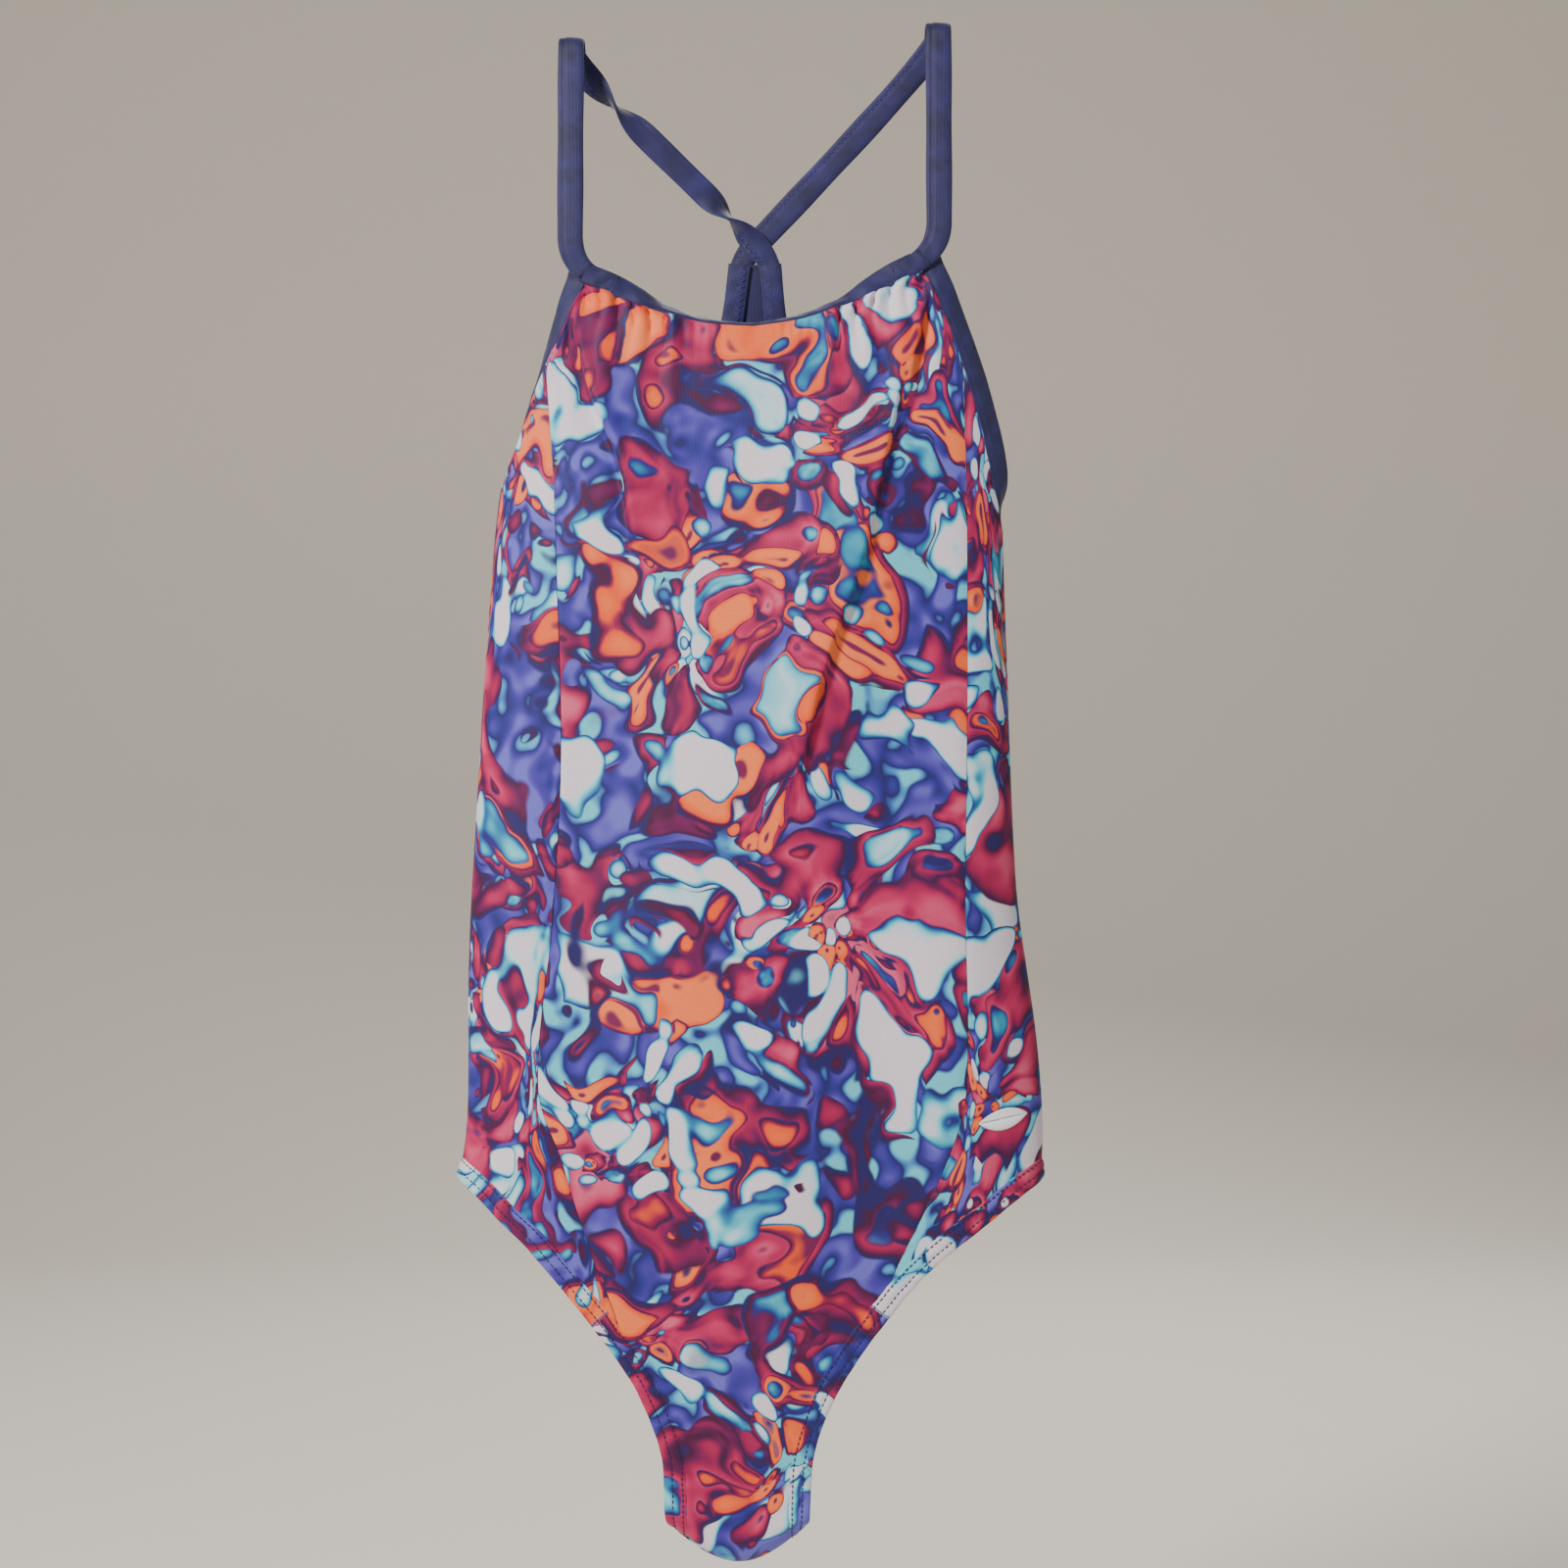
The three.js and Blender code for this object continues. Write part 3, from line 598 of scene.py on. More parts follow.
def sheet_faces(rows, columns):
    """Faces of a closed sheet: the outer grid, the inner grid behind it and the rim round them."""
    index = np.arange(rows * columns).reshape(rows, columns)
    outer = np.stack([index[:-1, :-1], index[:-1, 1:], index[1:, 1:], index[1:, :-1]], -1).reshape(-1, 4)
    inner = outer[:, ::-1] + rows * columns
    ring = np.r_[index[0], index[1:, -1], index[-1, -2::-1], index[-2:0:-1, 0]]
    after = np.roll(ring, -1)
    rim = np.stack([ring, ring + rows * columns, after + rows * columns, after], -1)
    return np.concatenate([outer, inner, rim])


def grid_normals(points, side):
    along = np.gradient(points, axis=0)
    across = np.gradient(points, axis=1)
    out = unit(np.cross(across, along))
    return out if out[..., 1].mean() * side > 0 else -out


def cloth_map_of(points, x, height, anchor):
    """How far along the cloth each point is, from the anchor column."""
    step = np.linalg.norm(np.diff(points, axis=1), axis=2)
    arc = np.concatenate([np.zeros((len(points), 1)), np.cumsum(step, axis=1)], axis=1)
    u = arc - arc[:, anchor : anchor + 1] + x[:, anchor : anchor + 1]
    return np.stack([u, height], axis=-1)


# %% Cut a panel
def cut_panel(left, right, shares, top, rows, bottom=None):
    """x and height of each point: shares place the columns, and rows the points down each."""
    low, high = np.full(len(shares), float(FOLD_Z)), np.zeros(len(shares))
    for _ in range(40):
        middle = (low + high) / 2
        below = middle < top(lerp(left(middle), right(middle), shares))
        low, high = np.where(below, middle, low), np.where(below, high, middle)
    start = low
    if bottom is None:
        end = np.full(len(shares), CLOTH_END)
    elif bottom == "leg":
        low, high = np.full(len(shares), CLOTH_END), np.full(len(shares), float(HIP_Z))
        for _ in range(40):
            middle = (low + high) / 2
            x = lerp(left(middle), right(middle), shares)
            inside = np.abs(x) < leg_or_side(middle) - 1e-6
            low, high = np.where(inside, low, middle), np.where(inside, middle, high)
        end = high
    else:
        end = np.full(len(shares), float(bottom))
    height = rows(start, end)
    return lerp(left(height), right(height), shares), height


def even_rows(count, power=1.0):
    return lambda start, end: lerp(start, end, (np.linspace(0, 1, count)[:, None]) ** power)


def long_rows(start, end):
    """Close rows at the top and round the hip and the fold, and wider ones between."""
    upper = lerp(start, WAIST_ROW, np.linspace(0, 1, 84)[:, None] ** 1.4)
    levels = np.r_[
        np.linspace(WAIST_ROW, HIP_Z, 62)[1:],
        HIP_Z - np.array([0.2, 0.6, 1.2, 2.0, 3.2, 4.6, 6.2, 8, 10]),
        np.linspace(HIP_Z - 12, FOLD_Z, 62),
        np.linspace(FOLD_Z, CLOTH_END, 9)[1:],
    ]
    return np.concatenate([upper, np.broadcast_to(levels[:, None], (len(levels), len(start)))])


def cloth_piece(name, cut, side, relief, material, shift=(0, 0), depth=0.0, anchor=0, thickness=CLOTH):
    """A closed sheet over a cut, depth behind the tube's face, with its print shifted as it was cut."""
    x, height = cut
    plain = on_body(x, height, side)
    outer = plain + grid_normals(plain, side) * (relief(x, height)[..., None] - depth)
    normals = grid_normals(outer, side)
    inner = outer - normals * thickness
    uv = cloth_map_of(outer, x, height, anchor) + np.array(shift)
    points = np.concatenate([outer.reshape(-1, 3), inner.reshape(-1, 3)])
    uvs = np.concatenate([uv.reshape(-1, 2)] * 2)
    piece = finish_mesh(name, points, sheet_faces(*x.shape), uvs, material)
    print(name, "triangles:", len(piece.data.loop_triangles))
    return piece


# %% [markdown]
# ### Printed panels
# The front is a centre panel and two narrow side panels, joined by curved seams. The back is two panels with a
# seam down the middle. Each panel was cut from a different place of the printed cloth, so the print jumps
# at each seam, as it does on such suits.


# %% Front panels
PRINT_SHIFT = {
    "front_left": (430, 155),
    "front_right": (-520, 310),
    "back_left": (910, -240),
    "back_right": (-960, 520),
}


def centre_left(h):
    return np.maximum(left_seam(h) + SEAM_GAP / 2, -leg_or_side(h))


def centre_right(h):
    return np.minimum(right_seam(h) - SEAM_GAP / 2, leg_or_side(h))


def crowded(count, corners=()):
    """Even shares with one at each corner of the panel's top edge."""
    even = np.linspace(0, 1, count)
    for corner in corners:
        even[np.abs(even - corner).argmin()] = corner
    return even


span = 97 - -95.5
corner_shares = [(-CORNER_X + 95.5) / span, (CORNER_X + 95.5) / span]
front_cut = cut_panel(centre_left, centre_right, crowded(176, corner_shares), front_top, long_rows)
front_centre = cloth_piece(
    "front_centre_cloth", front_cut, FRONT, front_relief, PRINT, anchor=88
)
side_shares = np.linspace(0, 1, 42) ** 2
left_cut = cut_panel(
    lambda h: -half_width(h), lambda h: left_seam(h) - SEAM_GAP / 2,
    side_shares, front_top, even_rows(190, 1.15), "leg",
)
front_left = cloth_piece(
    "front_side_cloth_left", left_cut, FRONT, front_relief, PRINT,
    PRINT_SHIFT["front_left"], anchor=41,
)
right_cut = cut_panel(
    lambda h: right_seam(h) + SEAM_GAP / 2, half_width,
    1 - side_shares[::-1], front_top, even_rows(190, 1.15), "leg",
)
front_right = cloth_piece(
    "front_side_cloth_right", right_cut, FRONT, front_relief, PRINT,
    PRINT_SHIFT["front_right"], anchor=0,
)

# %% Back panels
back_shares = np.linspace(0, 1, 96) ** 1.8
back_cut = cut_panel(
    lambda h: -leg_or_side(h), lambda h: -SEAM_GAP / 2 + 0 * h, back_shares, back_top, long_rows
)
back_left = cloth_piece(
    "back_cloth_left", back_cut, BACK, back_relief, PRINT, PRINT_SHIFT["back_left"], anchor=95
)
back_cut = cut_panel(
    lambda h: SEAM_GAP / 2 + 0 * h, leg_or_side, 1 - back_shares[::-1], back_top, long_rows
)
back_right = cloth_piece(
    "back_cloth_right", back_cut, BACK, back_relief, PRINT, PRINT_SHIFT["back_right"], anchor=0
)


# %% Yoke and linings
def calm(x, height):
    return 0.25 * np.sin(x / 4 + height / 17)


yoke_cut = cut_panel(lambda h: -yoke_half(h), yoke_half, np.linspace(0, 1, 25), lambda x: YOKE_TOP + 0 * x,
                     even_rows(50), YOKE_SEAM)
yoke = cloth_piece("yoke_cloth", yoke_cut, BACK, calm, NAVY, anchor=12)
lining_cut = cut_panel(
    lambda h: centre_left(h) + 3, lambda h: centre_right(h) - 3, np.linspace(0, 1, 90),
    lambda x: front_top(x) - 3, even_rows(150), GUSSET_Z + 3,
)
front_lining = cloth_piece(
    "front_lining_cloth", lining_cut, FRONT, front_relief, LINING, depth=2.0, anchor=45, thickness=0.5
)
crotch_cut = cut_panel(
    lambda h: -leg_edge(h) + 3, lambda h: leg_edge(h) - 3, np.linspace(0, 1, 40),
    lambda x: GUSSET_Z + 0 * x, even_rows(60), FOLD_Z,
)
crotch_lining = cloth_piece(
    "crotch_lining_cloth", crotch_cut, FRONT, front_relief, LINING, depth=2.0, anchor=20, thickness=0.5
)

# %% [markdown]
# ## Bands
# The bindings, hems and straps are knit folded round an elastic and sewn shut. Each is swept along its edge: at
# every station there is a place, a direction across the band and a direction through it. The section is
# soft: thick in the middle, thin at its two folded edges and pressed in where the stitches run.


# %% Stations along an edge
def resample(points, step):
    run = np.r_[0, np.cumsum(np.linalg.norm(np.diff(points, axis=0), axis=1))]
    count = max(int(run[-1] / step), 3)
    at = np.linspace(0, run[-1], count + 1)
    return np.stack([np.interp(at, run, points[:, k]) for k in range(points.shape[1])], 1)


def soften(values, reach):
    """Each row averaged with its neighbours, so that a turn is spread along the band."""
    kernel = np.exp(-np.linspace(-2, 2, 2 * reach + 1) ** 2)
    padded = np.concatenate([values[:1].repeat(reach, 0), values, values[-1:].repeat(reach, 0)])
    return np.stack([np.convolve(column, kernel / kernel.sum(), "valid") for column in padded.T], 1)


def edge_stations(cut_path, relief_of, step=1.3, reach=6):
    """Stations along a path of (x, height, side, inward x, inward height) on the tube."""
    fine = resample(cut_path, 0.6)
    x, height, side = fine[:, 0], fine[:, 1], np.where(fine[:, 2] > 0, 1, -1)
    at = on_body(x, height, side)
    n = out_of_body(x, height, side)
    at = at + n * (relief_of(x, height, side)[:, None] - CLOTH / 2)
    inside = on_body(x + fine[:, 3], height + fine[:, 4], side)
    joined = resample(np.concatenate([at, n, inside - at], axis=1), step)
    at, n, inward = joined[:, :3], soften(joined[:, 3:6], reach), joined[:, 6:9]
    at = soften(at, 4)
    along = unit(np.gradient(at, axis=0))
    w = unit(np.cross(along, n))
    if np.einsum("ij,ij->i", w, inward).mean() > 0:
        w = -w
    n = unit(np.cross(w, along))
    n = np.where((np.einsum("ij,ij->i", n, joined[:, 3:6]) < 0)[:, None], -n, n)
    return at, w, n


def both_reliefs(x, height, side):
    return np.where(side < 0, front_relief(x, height), back_relief(x, height))


# %% Sweep a band
def section_half(across, thickness):
    """Half the band's thickness at across, which runs from -1 to 1 over its width."""
    return thickness / 2 * np.sqrt(np.clip(1 - np.abs(across) ** 3.2, 0, 1))


def band(name, stations, low, high, material, thickness=2.3, pressed=(), uv_of=None, crinkle=0.1):
    at, w, n = stations
    count = len(at)
    low, high = np.broadcast_to(low, count), np.broadcast_to(high, count)
    thickness = np.broadcast_to(thickness, count)
    face = np.sin(np.linspace(-math.pi / 2, math.pi / 2, 17))
    across = np.r_[face, face[-2:0:-1]]
    upper = np.r_[np.ones(17), -np.ones(15)]
    run = np.r_[0, np.cumsum(np.linalg.norm(np.diff(at, axis=0), axis=1))]
    a = (low + high)[:, None] / 2 + (high - low)[:, None] / 2 * across
    b = section_half(across, thickness[:, None]) * upper
    for line in pressed:
        b = b * (1 - 0.38 * np.exp(-(((a - line) / 0.75) ** 2)))
    b = b + crinkle * np.sin(run[:, None] / 1.7 + 2.2 * across + 1.7 * np.sin(run[:, None] / 13)) * (1 - across**2)
    a = a + 0.12 * np.sin(run[:, None] / 7.3) * across
    points = at[:, None] + w[:, None] * a[..., None] + n[:, None] * b[..., None]
    sides = len(across)
    index = np.arange(count * sides).reshape(count, sides)
    after = np.roll(index, -1, axis=1)
    quads = np.stack([index[:-1], index[1:], after[1:], after[:-1]], -1).reshape(-1, 4)
    faces = quads.tolist() + [index[0].tolist(), index[-1, ::-1].tolist()]
    if uv_of is None:
        uv = np.stack([a, np.broadcast_to(run[:, None], a.shape)], -1)
    else:
        uv = uv_of(a)
    return finish_mesh(name, points.reshape(-1, 3), faces, uv.reshape(-1, 2), material, angle=70)


def elastic_strip(name, stations, low, high):
    return band(name, stations, low, high, ELASTIC, thickness=0.5, crinkle=0.03)


# %% [markdown]
# ### One stitch, copied
# A machine stitch is a short length of thread that dips into the cloth at both ends. It is modelled once, from a
# six-sided cylinder with its ends drawn in, and copied along each row. Repeating it many hundreds of times
# is cheap because it has so few faces.

# %% Model one stitch
bpy.ops.mesh.primitive_cylinder_add(
    vertices=6, radius=1, depth=2, rotation=(0, math.radians(90), 0), location=(0, 0, 0)
)
stitch = bpy.context.object
bpy.ops.object.transform_apply(location=True, rotation=True, scale=True)
bpy.ops.object.mode_set(mode="EDIT")
bpy.ops.mesh.select_all(action="SELECT")
bpy.ops.mesh.bevel(offset=0.35, segments=1, affect="EDGES")
bpy.ops.object.mode_set(mode="OBJECT")
stitch_points = np.array([v.co for v in stitch.data.vertices])
stitch_faces = [list(p.vertices) for p in stitch.data.polygons]
ends = np.abs(stitch_points[:, 0]) > 0.8
stitch_points[ends, 1:] *= 0.45
stitch_points[ends, 2] -= 0.5
bpy.data.objects.remove(stitch)
print("faces in one stitch:", len(stitch_faces))


# %% Sew a row
def sewn(name, starts, ends, up, radius, material, slot, body="garment"):
    """A stitch from each start to its end, standing up on its face."""
    middle, half = (starts + ends) / 2, (ends - starts) / 2
    length = np.linalg.norm(half, axis=1, keepdims=True)
    along = half / length
    side = unit(np.cross(up, along))
    rise = np.cross(along, side)
    count = len(starts)
    p = stitch_points
    points = middle[:, None] + half[:, None] * p[None, :, 0:1]
    points = points + radius * (side[:, None] * p[None, :, 1:2] + rise[:, None] * p[None, :, 2:3])
    faces = [[v + k * len(p) for v in face] for k in range(count) for face in stitch_faces]
    uvs = np.stack([p[:, 0] * length.mean(), p[:, 1] * radius], 1)
    return finish_mesh(name, points.reshape(-1, 3), faces, np.tile(uvs, (count, 1)), material, body, 80)


def line_on(stations, a, lift):
    at, w, n = stations
    a = np.broadcast_to(a, len(at))
    return at + w * a[:, None] + n * lift


def dashes_on(stations, a, lift, pitch=2.6, gap=0.7):
    path = resample(np.concatenate([line_on(stations, a, lift), stations[2]], 1), 0.4)
    run = np.r_[0, np.cumsum(np.linalg.norm(np.diff(path[:, :3], axis=0), axis=1))]
    begin = np.arange(1.5, run[-1] - pitch, pitch)

    def spot(s):
        return np.stack([np.interp(s, run, path[:, k]) for k in range(6)], 1)

    first, second = spot(begin), spot(begin + pitch - gap)
    return first[:, :3], second[:, :3], np.sign(lift) * unit(first[:, 3:])


def zigzag_on(stations, a0, a1, lift, pitch=1.5):
    """Stitches that cross the band from a0 to a1 and back."""
    at, w, n = stations
    run = np.r_[0, np.cumsum(np.linalg.norm(np.diff(at, axis=0), axis=1))]
    s = np.arange(1.0, run[-1] - 1.0, pitch)
    everything = np.concatenate([at, w, n, np.broadcast_to(a0, len(at))[:, None],
                                 np.broadcast_to(a1, len(at))[:, None]], 1)
    there = np.stack([np.interp(s, run, everything[:, k]) for k in range(11)], 1)
    a = np.where(np.arange(len(s)) % 2 == 0, there[:, 9], there[:, 10])
    points = there[:, :3] + there[:, 3:6] * a[:, None] + unit(there[:, 6:9]) * lift
    return points[:-1], points[1:], np.sign(lift) * unit(there[:-1, 6:9])


def several(*rows):
    return [np.concatenate(parts) for parts in zip(*rows)]


# %% [markdown]
# ### Leg hems
# The leg edge is turned under over an elastic and held by two rows of twin-needle stitches, so the hem wears the
# print of the panel that it belongs to. Its cloth map carries on from the panels.


# %% Leg hems
def leg_path(sign):
    down = np.r_[np.linspace(HIP_Z, HIP_Z - 10, 30), np.linspace(HIP_Z - 10.5, CLOTH_END, 240)]
    x = leg_edge(down)
    inward = np.stack([-6 + 0 * x, 3 + 0 * x], 1)
    front = np.column_stack([sign * x, down, -np.ones(len(x)), sign * inward[:, 0], inward[:, 1]])
    back = front[::-1].copy()
    back[:, 2] = 1
    return np.concatenate([front, back[1:]])


seam_foot = {-1: -591, 1: -588}  # where each front seam meets its leg hem
for side_name, sign in (("left", -1), ("right", 1)):
    stations = edge_stations(leg_path(sign), both_reliefs, reach=7)
    at, w, n = stations

    def hem_map(a):
        front_part = at[:, 1:2] < 0
        middle_part = front_part & (at[:, 2:3] < seam_foot[sign])
        front_shift, back_shift = (np.array([PRINT_SHIFT[f"{half}_{side_name}"]]) for half in ("front", "back"))
        shift = np.where(front_part, front_shift, back_shift)
        shift = np.where(middle_part, 0, shift)
        z = at[:, 2:3] + w[:, 2:3] * a
        x = at[:, 0:1] + w[:, 0:1] * a - sway(z)
        z = z - sag(x, z)
        return np.stack([x + shift[:, 0:1], z + shift[:, 1:2]], -1)

    piece = band(
        f"leg_hem_cloth_{side_name}", stations, -1.2, BAND_WIDTH, PRINT,
        thickness=2.2, pressed=(0.4, 5.0), uv_of=hem_map, crinkle=0.16,
    )
    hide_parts(f"leg_hem_{side_name}")
    strip = elastic_strip(f"leg_elastic_strip_{side_name}", stations, 1.4, 7.9)
    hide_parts(f"leg_elastic_{side_name}")
    rows = several(*[dashes_on(stations, a, lift * 0.95) for a in (0.4, 5.0) for lift in (1, -1)])
    stitches = sewn(f"leg_hem_stitches_{side_name}", *rows, 0.3, DARK_THREAD, "navy_thread")
    print("leg hem stitches:", len(rows[0]))


# %% [markdown]
# ### Neckline and armhole bindings
# The binding is cut apart from the panels, folded over their raw edge and topstitched with a zigzag on the inside.
# Along the neckline its elastic pulls it over inwards, most of all in the middle, so less of it shows there.


# %% Neckline binding
neck_x = np.linspace(-CORNER_X + 2, CORNER_X - 2, 240)
neck_at = on_body(neck_x, neck_edge(np.abs(neck_x)), FRONT)
neck_n = soften(out_of_body(neck_x, neck_edge(np.abs(neck_x)), FRONT), 6)
neck_at = neck_at + neck_n * (0.5 * front_relief(neck_x, neck_edge(np.abs(neck_x)))[:, None] - CLOTH / 2)
neck_at = soften(neck_at, 9)
neck_along = unit(np.gradient(neck_at, axis=0))
upright = np.array([0, 0, 1.0]) - neck_along * neck_along[:, 2:3]
upright = unit(upright - neck_n * np.einsum("ij,ij->i", upright, neck_n)[:, None])
roll = np.arccos(np.clip(band_shown(np.abs(neck_x)) / BAND_WIDTH, 0, 1))[:, None]
neck_w = unit(upright * np.cos(roll) - neck_n * np.sin(roll))
neck_through = unit(neck_n * np.cos(roll) + upright * np.sin(roll))
neck_stations = (neck_at, neck_w, neck_through)
neck_low = -1.4 + 1.7 * np.sin(roll[:, 0])
neck_band = band(
    "neckline_band", neck_stations, neck_low, BAND_WIDTH + 0.2, NAVY, 2.3, (0.3,), crinkle=0.14
)
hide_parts("neckline_binding")
neck_strip = elastic_strip("neckline_elastic_strip", neck_stations, 1.6, 7.8)
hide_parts("neckline_elastic")
neck_stitches = sewn(
    "neckline_stitches", *zigzag_on(neck_stations, 0.2, 3.2, -1.1), 0.17, NAVY_THREAD, "navy_thread"
)


# %% Armhole bindings
def arm_path(sign):
    x = np.r_[CORNER_X - 1.2, np.linspace(CORNER_X, 117.6, 199)]
    z = np.r_[CORNER_Z + 3.6, front_arm[sign](x[1:])]
    front = np.column_stack([sign * x, z, -np.ones(200), -sign * 6 + 0 * x, -2 + 0 * x])
    x = np.linspace(117.6, 22, 200)
    back = np.column_stack([sign * x, back_arm(x), np.ones(200), 0 * x, -6 + 0 * x])
    level = np.linspace(YOKE_SEAM, YOKE_TOP, 90)
    up = np.column_stack([sign * yoke_half(level), level, np.ones(90), -sign * 2 + 0 * level, 0 * level])
    return np.concatenate([front, back[1:], up[1:]])


for side_name, sign in (("left", -1), ("right", 1)):
    at, w, n = edge_stations(arm_path(sign), both_reliefs, reach=6)
    shown = through(*zip(ARM_LINE[:, 1], ARM_SHOWN[sign]))(at[:, 2])
    roll = (np.arccos(np.clip(shown / BAND_WIDTH, 0, 1)) * smooth(-at[:, 1], -7, 1))[:, None]
    roll = soften(roll, 14)
    stations = (at, w * np.cos(roll) - n * np.sin(roll), n * np.cos(roll) + w * np.sin(roll))
    low = -1.2 + 1.4 * np.sin(roll[:, 0])
    piece = band(f"armhole_band_{side_name}", stations, low, BAND_WIDTH + 0.3, NAVY, 2.3, (0.4,))
    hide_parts(f"armhole_binding_{side_name}")
    strip = elastic_strip(f"armhole_elastic_strip_{side_name}", stations, 1.6, 7.9)
    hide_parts(f"armhole_elastic_{side_name}")
    stitches = sewn(
        f"armhole_stitches_{side_name}", *zigzag_on(stations, 0.4, 3.6, -1.1), 0.17, NAVY_THREAD, "navy_thread"
    )

# %% [markdown]
# ### Straps
# Each strap carries on from the armhole binding. It rises from the neckline corner, bends over its rest and crosses
# the back to the other side of the yoke. The left one takes a half turn on the way, so its smooth face shows
# between two narrow places, and the other shows its zigzag stitches all along.


# %% Straps
def bezier(a, b, c, d, count):
    t = np.linspace(0, 1, count)[:, None]
    return a * (1 - t) ** 3 + 3 * b * t * (1 - t) ** 2 + 3 * c * t**2 * (1 - t) + d * t**3


def turned(v, axis, angle):
    """v turned about each axis by its angle."""
    angle = angle[:, None]
    along = np.einsum("ij,ij->i", axis, v)[:, None]
    return v * np.cos(angle) + np.cross(axis, v) * np.sin(angle) + axis * along * (1 - np.cos(angle))


NECK_JOIN = 64  # where the strap comes out of the neckline binding


def strap_stations(sign):
    tilt = sign * STRAP_TILT / 2
    middle = REST_RADIUS + BAND / 2
    rest_z = tilt - REST_RADIUS * math.cos(math.pi / 10)
    x = sign * STRAP_X
    corner_tilt = STRAP_TILT * sign * CORNER_X / (2 * STRAP_X)
    inside = np.linspace(NECK_JOIN, 73, 10)
    inside = on_body(sign * inside, neck_edge(inside) + 4.4, FRONT)
    inside = inside + np.array([0, -0.5, 0]) * smooth(np.arange(10), 0, 9)[:, None]
    join = inside[-1]
    top = np.array([x, join[1] + 0.6, -92 + corner_tilt])
    foot = bezier(join, join + unit(inside[-1] - inside[-2]) * 8, top + [-sign * 0.2, -0.4, -9.5], top, 24)
    foot = np.concatenate([inside[:-1], foot])
    rise = lerp(foot[-1], np.array([x, -middle, rest_z]), np.linspace(0, 1, 60)[:, None])
    angle = np.linspace(math.pi, 0, 21)
    over = np.column_stack([x + 0 * angle, np.cos(angle) * middle, rest_z + np.sin(angle) * middle])
    end = np.array([-2.0 * sign, CROSS_DEPTH + sign * (BAND + 0.3) / 2, CROSS_Z])
    down = bezier(
        np.array([x, middle, rest_z]),
        np.array([x - sign * 6, middle + 2, rest_z - 12]),
        np.array([end[0] + sign * 30, end[1], end[2] + 32]),
        end,
        120,
    )
    tail = bezier(end, end + [-sign * 2.6, 0, -2.8], end + [-sign * 4.4, 0, -6], end + [-sign * 5.6, 0, -10], 12)
    front = resample(np.concatenate([foot, rise[1:], over[1:]]), 1.2)
    rear = resample(np.concatenate([down, tail[1:]]), 1.2)
    at = np.concatenate([front, rear[1:]])
    along = unit(np.gradient(at, axis=0))
    w = np.array([1.0, 0, 0]) - along * along[:, 0:1]
    share = np.clip((np.arange(len(at)) - len(front)) / (len(at) - len(front)), 0, 1)
    half_turns = (smooth(share, 0.04, 0.38) - smooth(share, 0.62, 0.92)) if sign < 0 else 0 * share
    w = turned(unit(w), along, math.pi * half_turns)
    n = np.cross(along, w)
    return at, w, n


straps = {}
for side_name, sign in (("left", -1), ("right", 1)):
    stations = strap_stations(sign)
    count = len(stations[0])
    order = np.arange(count)
    half = STRAP_WIDTH / 2 * lerp(0.76, 1.0, smooth(order, 6, 26))
    half = half * lerp(1, 0.8, smooth(order, count - 14, count - 1))
    thick = lerp(0.7, 2.3, smooth(order, 0, 12))
    piece = band(f"strap_band_{side_name}", stations, -half, half, NAVY, thick, (-3.4,))
    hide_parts(f"strap_{side_name}")
    strip = elastic_strip(f"strap_elastic_strip_{side_name}", stations, -3.6, 3.6)
    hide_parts(f"strap_elastic_{side_name}")
    inner = tuple(part[18:-3] for part in stations)
    lift = -1.15 if np.dot(stations[2][40], [0, -1, 0]) > 0 else 1.15
    stitches = sewn(
        f"strap_stitches_{side_name}", *zigzag_on(inner, -4.8, -1.6, lift), 0.17, NAVY_THREAD, "navy_thread"
    )
    straps[side_name] = [piece, strip, stitches]
    print("strap stations:", count)


# %% [markdown]
# ### Bartacks
# Where the straps join the suit and cross each other, a dense block of zigzag stitches takes the strain.


# %% Bartacks
def bartack(name, node, middle, across, along, up, half, length):
    """Close zigzag stitches over half to each side and over a length, with three bars along them."""
    count = 26
    a = np.linspace(-half, half, count)
    b = np.where(np.arange(count) % 2 == 0, -length / 2, length / 2)
    points = middle + across * a[:, None] + along * b[:, None]
    bars = [middle + along * (k * length * 0.28) for k in (-1, 0, 1)]
    starts = np.concatenate([points[:-1], [bar - across * half for bar in bars]])
    stops = np.concatenate([points[1:], [bar + across * half for bar in bars]])
    piece = sewn(name, starts, stops, np.tile(up, (len(starts), 1)), 0.24, DARK_THREAD, "navy_thread")
    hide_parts(node)
    return piece


TACK_STATION = 13  # the place along a strap, from its foot, where it is sewn to the neckline corner
for side_name, sign in (("left", -1), ("right", 1)):
    at, w, n = strap_stations(sign)
    up = n[TACK_STATION] if n[TACK_STATION, 1] < 0 else -n[TACK_STATION]
    bartack(
            f"bartack_stitches_{side_name}", f"bartack_front_{side_name}", at[TACK_STATION] + up * 1.15,
            w[TACK_STATION], unit(at[TACK_STATION + 1] - at[TACK_STATION - 1]), up, 4.2, 1.9,
        )
low, high = (np.array(c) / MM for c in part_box("bartack_back"))
size = high - low
bartack(
        "bartack_stitches_back", "bartack_back", (low + high) / 2, np.array([1.0, 0, 0]), np.array([0, 0, 1.0]),
        np.array([0, 1.0, 0]), size[0] / 2, size[2],
    )

# %% [markdown]
# ## Embroidered leaf and label
# The small mark at the hip is a plain leaf in white satin stitch: close threads run from its middle rib to its
# edge on both sides. Inside the back hangs a blank satin label, sewn along its top edge.

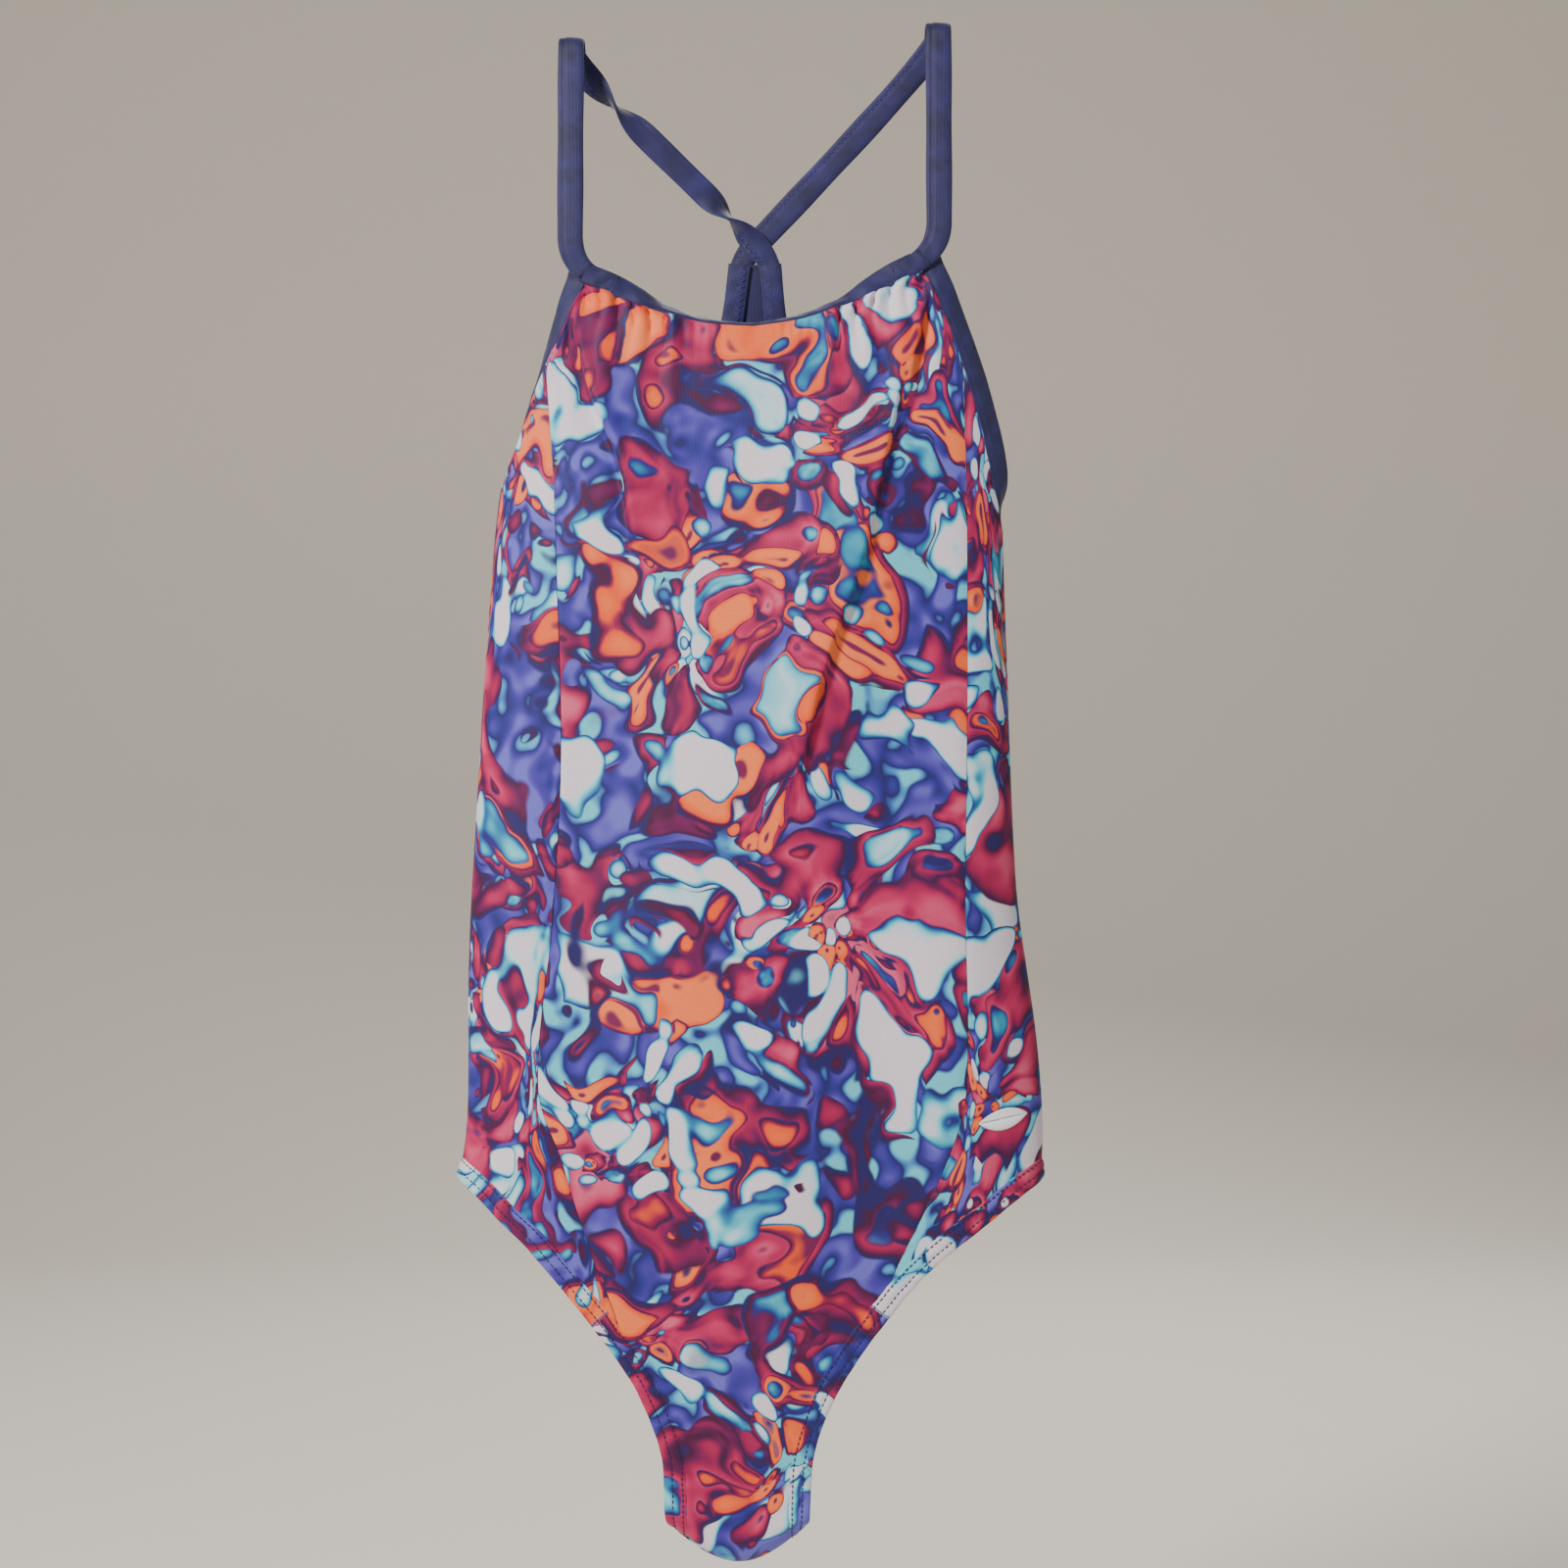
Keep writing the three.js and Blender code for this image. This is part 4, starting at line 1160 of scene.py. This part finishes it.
# %% Embroidered leaf
low, high = (np.array(c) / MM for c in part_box("hip_motif"))
leaf_middle, leaf_size = (low + high) / 2, high - low
leaf_starts, leaf_ends, leaf_up = [], [], []
for row in (1, -1):
    for k in range(46):
        t = (k + 0.5) / 46
        rib_x = lerp(low[0] + 0.5, high[0] - 1.5, t)
        rib_z = leaf_middle[2] + lerp(-2.0, 2.0, t)
        reach = leaf_size[2] * 0.46 * math.sin(math.pi * t**0.8) ** 0.8
        tip_x, tip_z = rib_x + 0.45 * reach, rib_z + row * reach
        ends_at = []
        for end_x, end_z in ((rib_x, rib_z), (tip_x, tip_z)):
            x = end_x - sway(end_z)
            n = out_of_body(x, end_z, FRONT)
            ends_at.append(on_body(x, end_z, FRONT) + n * (front_relief(x, end_z) + 0.35))
        leaf_starts.append(ends_at[0])
        leaf_ends.append(ends_at[1])
        leaf_up.append(n)
leaf = sewn(
    "embroidered_leaf", np.array(leaf_starts), np.array(leaf_ends), np.array(leaf_up), 0.36,
    WHITE_THREAD, "white_thread",
)
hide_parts("hip_motif")

# %% Label
low, high = (np.array(c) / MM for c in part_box("care_label"))
across, down = np.meshgrid(np.linspace(low[0], high[0], 25), np.linspace(high[2], low[2], 31))
fall = (high[2] - down) / (high[2] - low[2])
curl = -1.6 * fall**2 - 0.8 * fall * ((across / 12) ** 2) + 0.25 * np.sin(across / 3 + 4 * fall) * fall
outer = np.stack([across, (low[1] + high[1]) / 2 + curl, down], -1)
inner = outer - [0, 0.3, 0]
label_uv = np.stack([across, down], -1).reshape(-1, 2)
label = finish_mesh(
    "blank_label", np.concatenate([outer.reshape(-1, 3), inner.reshape(-1, 3)]), sheet_faces(31, 25),
    np.concatenate([label_uv] * 2), SATIN, "label",
)
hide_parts("care_label")
top_line = np.linspace(low[0] + 1, high[0] - 1, 12)
first = np.column_stack([top_line[:-1], np.full(11, low[1] - 0.25), np.full(11, high[2] - 1.2)])
second = first + [1.4, 0, 0]
label_stitches = sewn(
    "label_stitches", first, second, np.tile([0.0, -1.0, 0.0], (11, 1)), 0.18, WHITE_THREAD, "white_thread", "label"
)

# %% [markdown]
# ## The imported cloths
# The eight imported cloth parts are hidden, since each is made again above. The suit's eight cloths have no flat
# pattern here: their width and length are those of the hung piece's box, and their area is that of one face of
# the finished mesh. The area test at the end compares that area with itself, so it can't show whether the folds
# stretched a cloth.


def declare(node):
    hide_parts(node)


declare("front_centre_panel")
declare("front_side_panel_left")
declare("front_side_panel_right")
declare("back_panel_left")
declare("back_panel_right")
declare("back_yoke")
declare("front_lining")
declare("crotch_lining")

# %% [markdown]
# ## Floor
# A plain pale sweep gives the studio its floor and a quiet background: a floor well below the suit, bent up
# far behind it, beyond the place of any camera that looks at the back.

# %% Floor
bpy.ops.object.select_all(action="DESELECT")
bpy.ops.mesh.primitive_plane_add(size=1, location=(0, 0, 0))
floor = bpy.context.object
floor.name = "floor"
floor.scale = (30, 20, 1)
floor.location = (0, -6.8, -0.9)
bpy.ops.object.transform_apply(location=True, rotation=True, scale=True)
bpy.ops.object.mode_set(mode="EDIT")
bpy.ops.mesh.select_all(action="DESELECT")
bpy.ops.mesh.select_mode(type="EDGE")
bpy.ops.object.mode_set(mode="OBJECT")
for edge in floor.data.edges:
    edge.select = all(floor.data.vertices[v].co.y > 3 for v in edge.vertices)
bpy.ops.object.mode_set(mode="EDIT")
bpy.ops.mesh.extrude_region_move(TRANSFORM_OT_translate={"value": (0, 0, 3.4)})
bpy.ops.object.mode_set(mode="OBJECT")
bend = floor.modifiers.new("sweep", "BEVEL")
bend.width = 1.2
bend.segments = 16
bpy.ops.object.modifier_apply(modifier="sweep")
floor.data.shade_smooth()
floor_material, _, floor_surface, _ = new_material("pale_floor", 0.85)
floor_surface.inputs["Base Color"].default_value = (0.80, 0.74, 0.66, 1)
floor.data.materials.append(floor_material)
